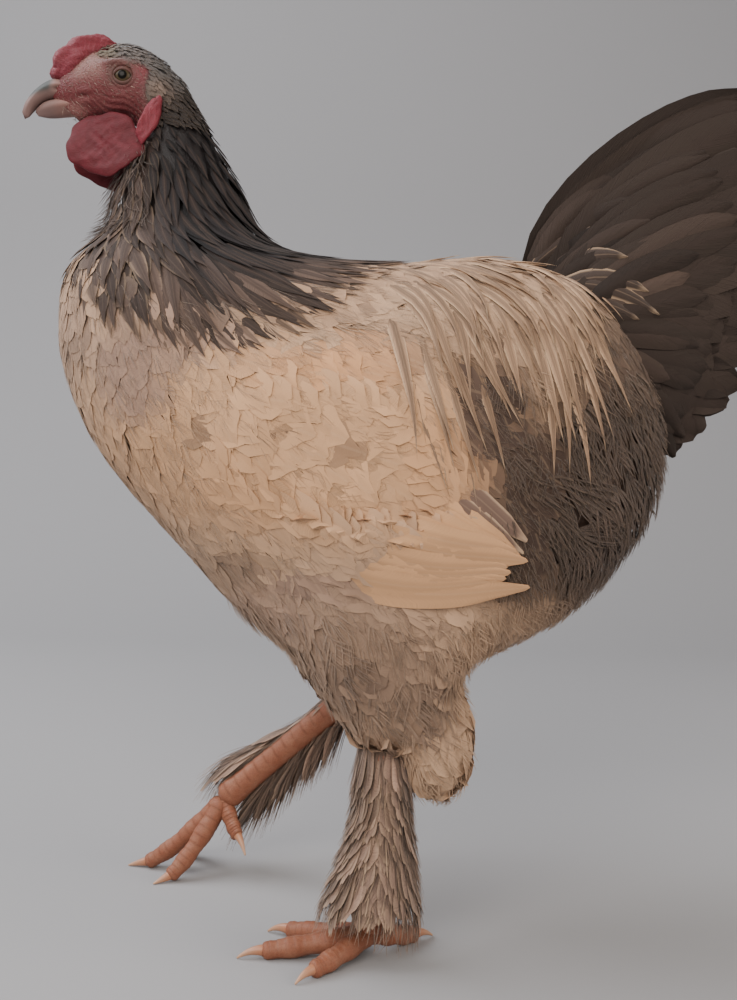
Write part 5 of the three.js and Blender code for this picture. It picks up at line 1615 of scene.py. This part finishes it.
class BrahmaLook(bpy.types.PropertyGroup):
    """Sizes and colours of the bird and the stage."""

    skin_cell: length("cells of the skin", 0.0036)
    contour_gap: length("gap between body feathers", 0.0084)
    down_gap: length("gap between body plumes", 0.0076)
    hackle_gap: length("gap between hackle feathers", 0.0066)
    saddle_gap: length("gap between saddle feathers", 0.0072)
    flights: IntProperty(name="Flight feathers", description="Flight feathers shown on each wing",
                         default=11, min=3, max=20)
    breast: colour("breast", 0.53, 0.34, 0.215)
    peach: colour("wing", 0.62, 0.35, 0.18)
    # Grey of the coat, also used as painted shade in the band under the hackle's lower edge.
    grey_and_shade: colour("grey band", 0.33, 0.21, 0.16)
    amber: colour("amber spots", 0.5, 0.21, 0.07)
    smoke: colour("smoky blotches", 0.07, 0.045, 0.036)
    tan: colour("back", 0.42, 0.26, 0.165)
    saddle: colour("saddle", 0.36, 0.225, 0.14)
    shaft: colour("shaft streaks", 0.035, 0.022, 0.018)
    # Pale colour of the feather edges, also used for the painted highlight along each shaft.
    rim: colour("feather edges", 0.6, 0.42, 0.27)
    cape_front: colour("front of the hackle", 0.085, 0.056, 0.044)
    cape_back: colour("back of the hackle", 0.014, 0.011, 0.0115)
    nape: colour("nape", 0.09, 0.085, 0.085)
    brow: colour("brow", 0.2, 0.165, 0.12)
    cape_edge: colour("lower edge of the hackle", 0.1, 0.066, 0.05)
    ear: colour("ear tufts", 0.26, 0.19, 0.155)
    lore: colour("pale skin before the eyes", 0.25, 0.135, 0.115)
    # Dark skin of the eyelids, also spread round each eye on the face as painted shade.
    lid: colour("eyelids", 0.085, 0.048, 0.038)
    throat: colour("throat", 0.045, 0.022, 0.018)
    crown: colour("crown", 0.15, 0.13, 0.125)
    tail: colour("tail", 0.034, 0.023, 0.018)
    fluff: colour("rear fluff", 0.06, 0.036, 0.026)
    thigh: colour("thighs", 0.26, 0.17, 0.12)
    boot: colour("boots", 0.18, 0.116, 0.082)
    # The face colour is set darker than the skin's own red, partly as painted shade for the head,
    # which lies in shade.
    face: colour("face", 0.125, 0.028, 0.03)
    face_pale: colour("pale folds of the face", 0.16, 0.055, 0.052)
    comb: colour("comb", 0.17, 0.02, 0.032)
    comb_pale: colour("pale grains of the comb", 0.2, 0.05, 0.058)
    wattle: colour("wattles", 0.085, 0.006, 0.011)
    lobe: colour("ear lobes", 0.21, 0.03, 0.045)
    iris: colour("iris", 0.06, 0.042, 0.022)
    horn: colour("beak", 0.19, 0.12, 0.108)
    horn_dark: colour("ridge of the beak", 0.045, 0.05, 0.048)
    shank: colour("shanks", 0.25, 0.095, 0.052)
    shank_pale: colour("pale scales of the shanks", 0.34, 0.17, 0.105)
    claw: colour("claws", 0.36, 0.13, 0.06)
    claw_tip: colour("tips of the claws", 0.45, 0.27, 0.17)
    floor: colour("floor", 0.3, 0.3, 0.31)
    sky_power: FloatProperty(name="Sky light", description="Power of the sky light in watts",
                             default=95.0, min=0.0, unit="POWER")
    front_power: FloatProperty(name="Front light", description="Power of the front light in watts",
                               default=62.0, min=0.0, unit="POWER")


# Operators, one for each piece or group of like pieces.
class BRAHMA_OT_skin(bpy.types.Operator):
    """Skin of the whole bird in one surface"""

    bl_idname = "brahma.skin"
    bl_label = "Skin"

    def execute(self, context):
        build_skin(context.scene.brahma)
        return {"FINISHED"}


class BRAHMA_OT_contour(bpy.types.Operator):
    """Scale-like feathers of breast, flanks and belly"""

    bl_idname = "brahma.contour"
    bl_label = "Body Feathers"

    def execute(self, context):
        build_contour(context.scene.brahma)
        return {"FINISHED"}


class BRAHMA_OT_down(bpy.types.Operator):
    """Wisps between the body feathers"""

    bl_idname = "brahma.down"
    bl_label = "Down"

    def execute(self, context):
        build_down(context.scene.brahma)
        return {"FINISHED"}


class BRAHMA_OT_hackle(bpy.types.Operator):
    """Pointed feathers of the neck"""

    bl_idname = "brahma.hackle"
    bl_label = "Hackle"

    def execute(self, context):
        build_hackle(context.scene.brahma)
        return {"FINISHED"}


class BRAHMA_OT_bristles(bpy.types.Operator):
    """Hair-like bristles of throat and face"""

    bl_idname = "brahma.bristles"
    bl_label = "Bristles"

    def execute(self, context):
        build_bristles(context.scene.brahma)
        return {"FINISHED"}


class BRAHMA_OT_saddle(bpy.types.Operator):
    """Long narrow feathers of the back"""

    bl_idname = "brahma.saddle"
    bl_label = "Saddle"

    def execute(self, context):
        build_saddle(context.scene.brahma)
        return {"FINISHED"}


class BRAHMA_OT_wings(bpy.types.Operator):
    """Coverts and flight feathers of both wings"""

    bl_idname = "brahma.wings"
    bl_label = "Wings"

    def execute(self, context):
        build_wings(context.scene.brahma)
        return {"FINISHED"}


class BRAHMA_OT_tail(bpy.types.Operator):
    """Main feathers and coverts of the tail"""

    bl_idname = "brahma.tail"
    bl_label = "Tail"

    def execute(self, context):
        build_tail(context.scene.brahma)
        return {"FINISHED"}


class BRAHMA_OT_tail_core(bpy.types.Operator):
    """Thin core inside the tail's fan"""

    bl_idname = "brahma.tail_core"
    bl_label = "Tail Core"

    def execute(self, context):
        build_tail_core(context.scene.brahma)
        return {"FINISHED"}


class BRAHMA_OT_fluff(bpy.types.Operator):
    """Soft wisps of thighs and rear"""

    bl_idname = "brahma.fluff"
    bl_label = "Fluff"

    def execute(self, context):
        build_fluff(context.scene.brahma)
        return {"FINISHED"}


class BRAHMA_OT_head_coat(bpy.types.Operator):
    """Small feathers of crown, ear and nape"""

    bl_idname = "brahma.head_coat"
    bl_label = "Head Feathers"

    def execute(self, context):
        build_head_coat(context.scene.brahma)
        return {"FINISHED"}


class BRAHMA_OT_eyes(bpy.types.Operator):
    """Eyes with iris and pupil"""

    bl_idname = "brahma.eyes"
    bl_label = "Eyes"

    def execute(self, context):
        build_eyes(context.scene.brahma)
        return {"FINISHED"}


class BRAHMA_OT_lids(bpy.types.Operator):
    """Rims of skin round the eyes"""

    bl_idname = "brahma.lids"
    bl_label = "Eyelids"

    def execute(self, context):
        build_lids(context.scene.brahma)
        return {"FINISHED"}


class BRAHMA_OT_beak(bpy.types.Operator):
    """Upper and lower half of the beak"""

    bl_idname = "brahma.beak"
    bl_label = "Beak"

    def execute(self, context):
        build_beak(context.scene.brahma)
        return {"FINISHED"}


class BRAHMA_OT_comb(bpy.types.Operator):
    """Lumpy pea comb"""

    bl_idname = "brahma.comb"
    bl_label = "Comb"

    def execute(self, context):
        build_comb(context.scene.brahma)
        return {"FINISHED"}


class BRAHMA_OT_wattles(bpy.types.Operator):
    """Wattles and ear lobes"""

    bl_idname = "brahma.wattles"
    bl_label = "Wattles"

    def execute(self, context):
        build_wattles(context.scene.brahma)
        return {"FINISHED"}


class BRAHMA_OT_legs(bpy.types.Operator):
    """Scaled shanks and toes with claws"""

    bl_idname = "brahma.legs"
    bl_label = "Legs"

    def execute(self, context):
        build_legs(context.scene.brahma)
        return {"FINISHED"}


class BRAHMA_OT_boots(bpy.types.Operator):
    """Feathers of shanks and feet"""

    bl_idname = "brahma.boots"
    bl_label = "Boots"

    def execute(self, context):
        build_boots(context.scene.brahma)
        return {"FINISHED"}


class BRAHMA_OT_stage(bpy.types.Operator):
    """Floor, lights and camera"""

    bl_idname = "brahma.stage"
    bl_label = "Stage"

    def execute(self, context):
        build_stage(context.scene.brahma)
        return {"FINISHED"}


STEPS = (
    BRAHMA_OT_skin, BRAHMA_OT_contour, BRAHMA_OT_down, BRAHMA_OT_hackle, BRAHMA_OT_bristles,
    BRAHMA_OT_saddle, BRAHMA_OT_wings, BRAHMA_OT_tail, BRAHMA_OT_tail_core, BRAHMA_OT_fluff,
    BRAHMA_OT_head_coat, BRAHMA_OT_eyes, BRAHMA_OT_lids, BRAHMA_OT_beak, BRAHMA_OT_comb,
    BRAHMA_OT_wattles, BRAHMA_OT_legs, BRAHMA_OT_boots, BRAHMA_OT_stage,
)


class BRAHMA_PT_panel(bpy.types.Panel):
    """Buttons for every piece of the bird"""

    bl_label = "Brahma Cockerel"
    bl_idname = "BRAHMA_PT_panel"
    bl_space_type = "VIEW_3D"
    bl_region_type = "UI"
    bl_category = "Brahma"

    def draw(self, context):
        for step in STEPS:
            self.layout.operator(step.bl_idname)


CLASSES = (BrahmaLook, *STEPS, BRAHMA_PT_panel)


def register():
    for made in CLASSES:
        bpy.utils.register_class(made)
    bpy.types.Scene.brahma = PointerProperty(type=BrahmaLook)


def unregister():
    del bpy.types.Scene.brahma
    for made in reversed(CLASSES):
        bpy.utils.unregister_class(made)


def main():
    """Builds every piece in order."""
    register()
    for step in STEPS:
        getattr(bpy.ops.brahma, step.bl_idname.split(".")[1])()
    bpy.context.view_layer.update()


if __name__ == "__main__":
    main()
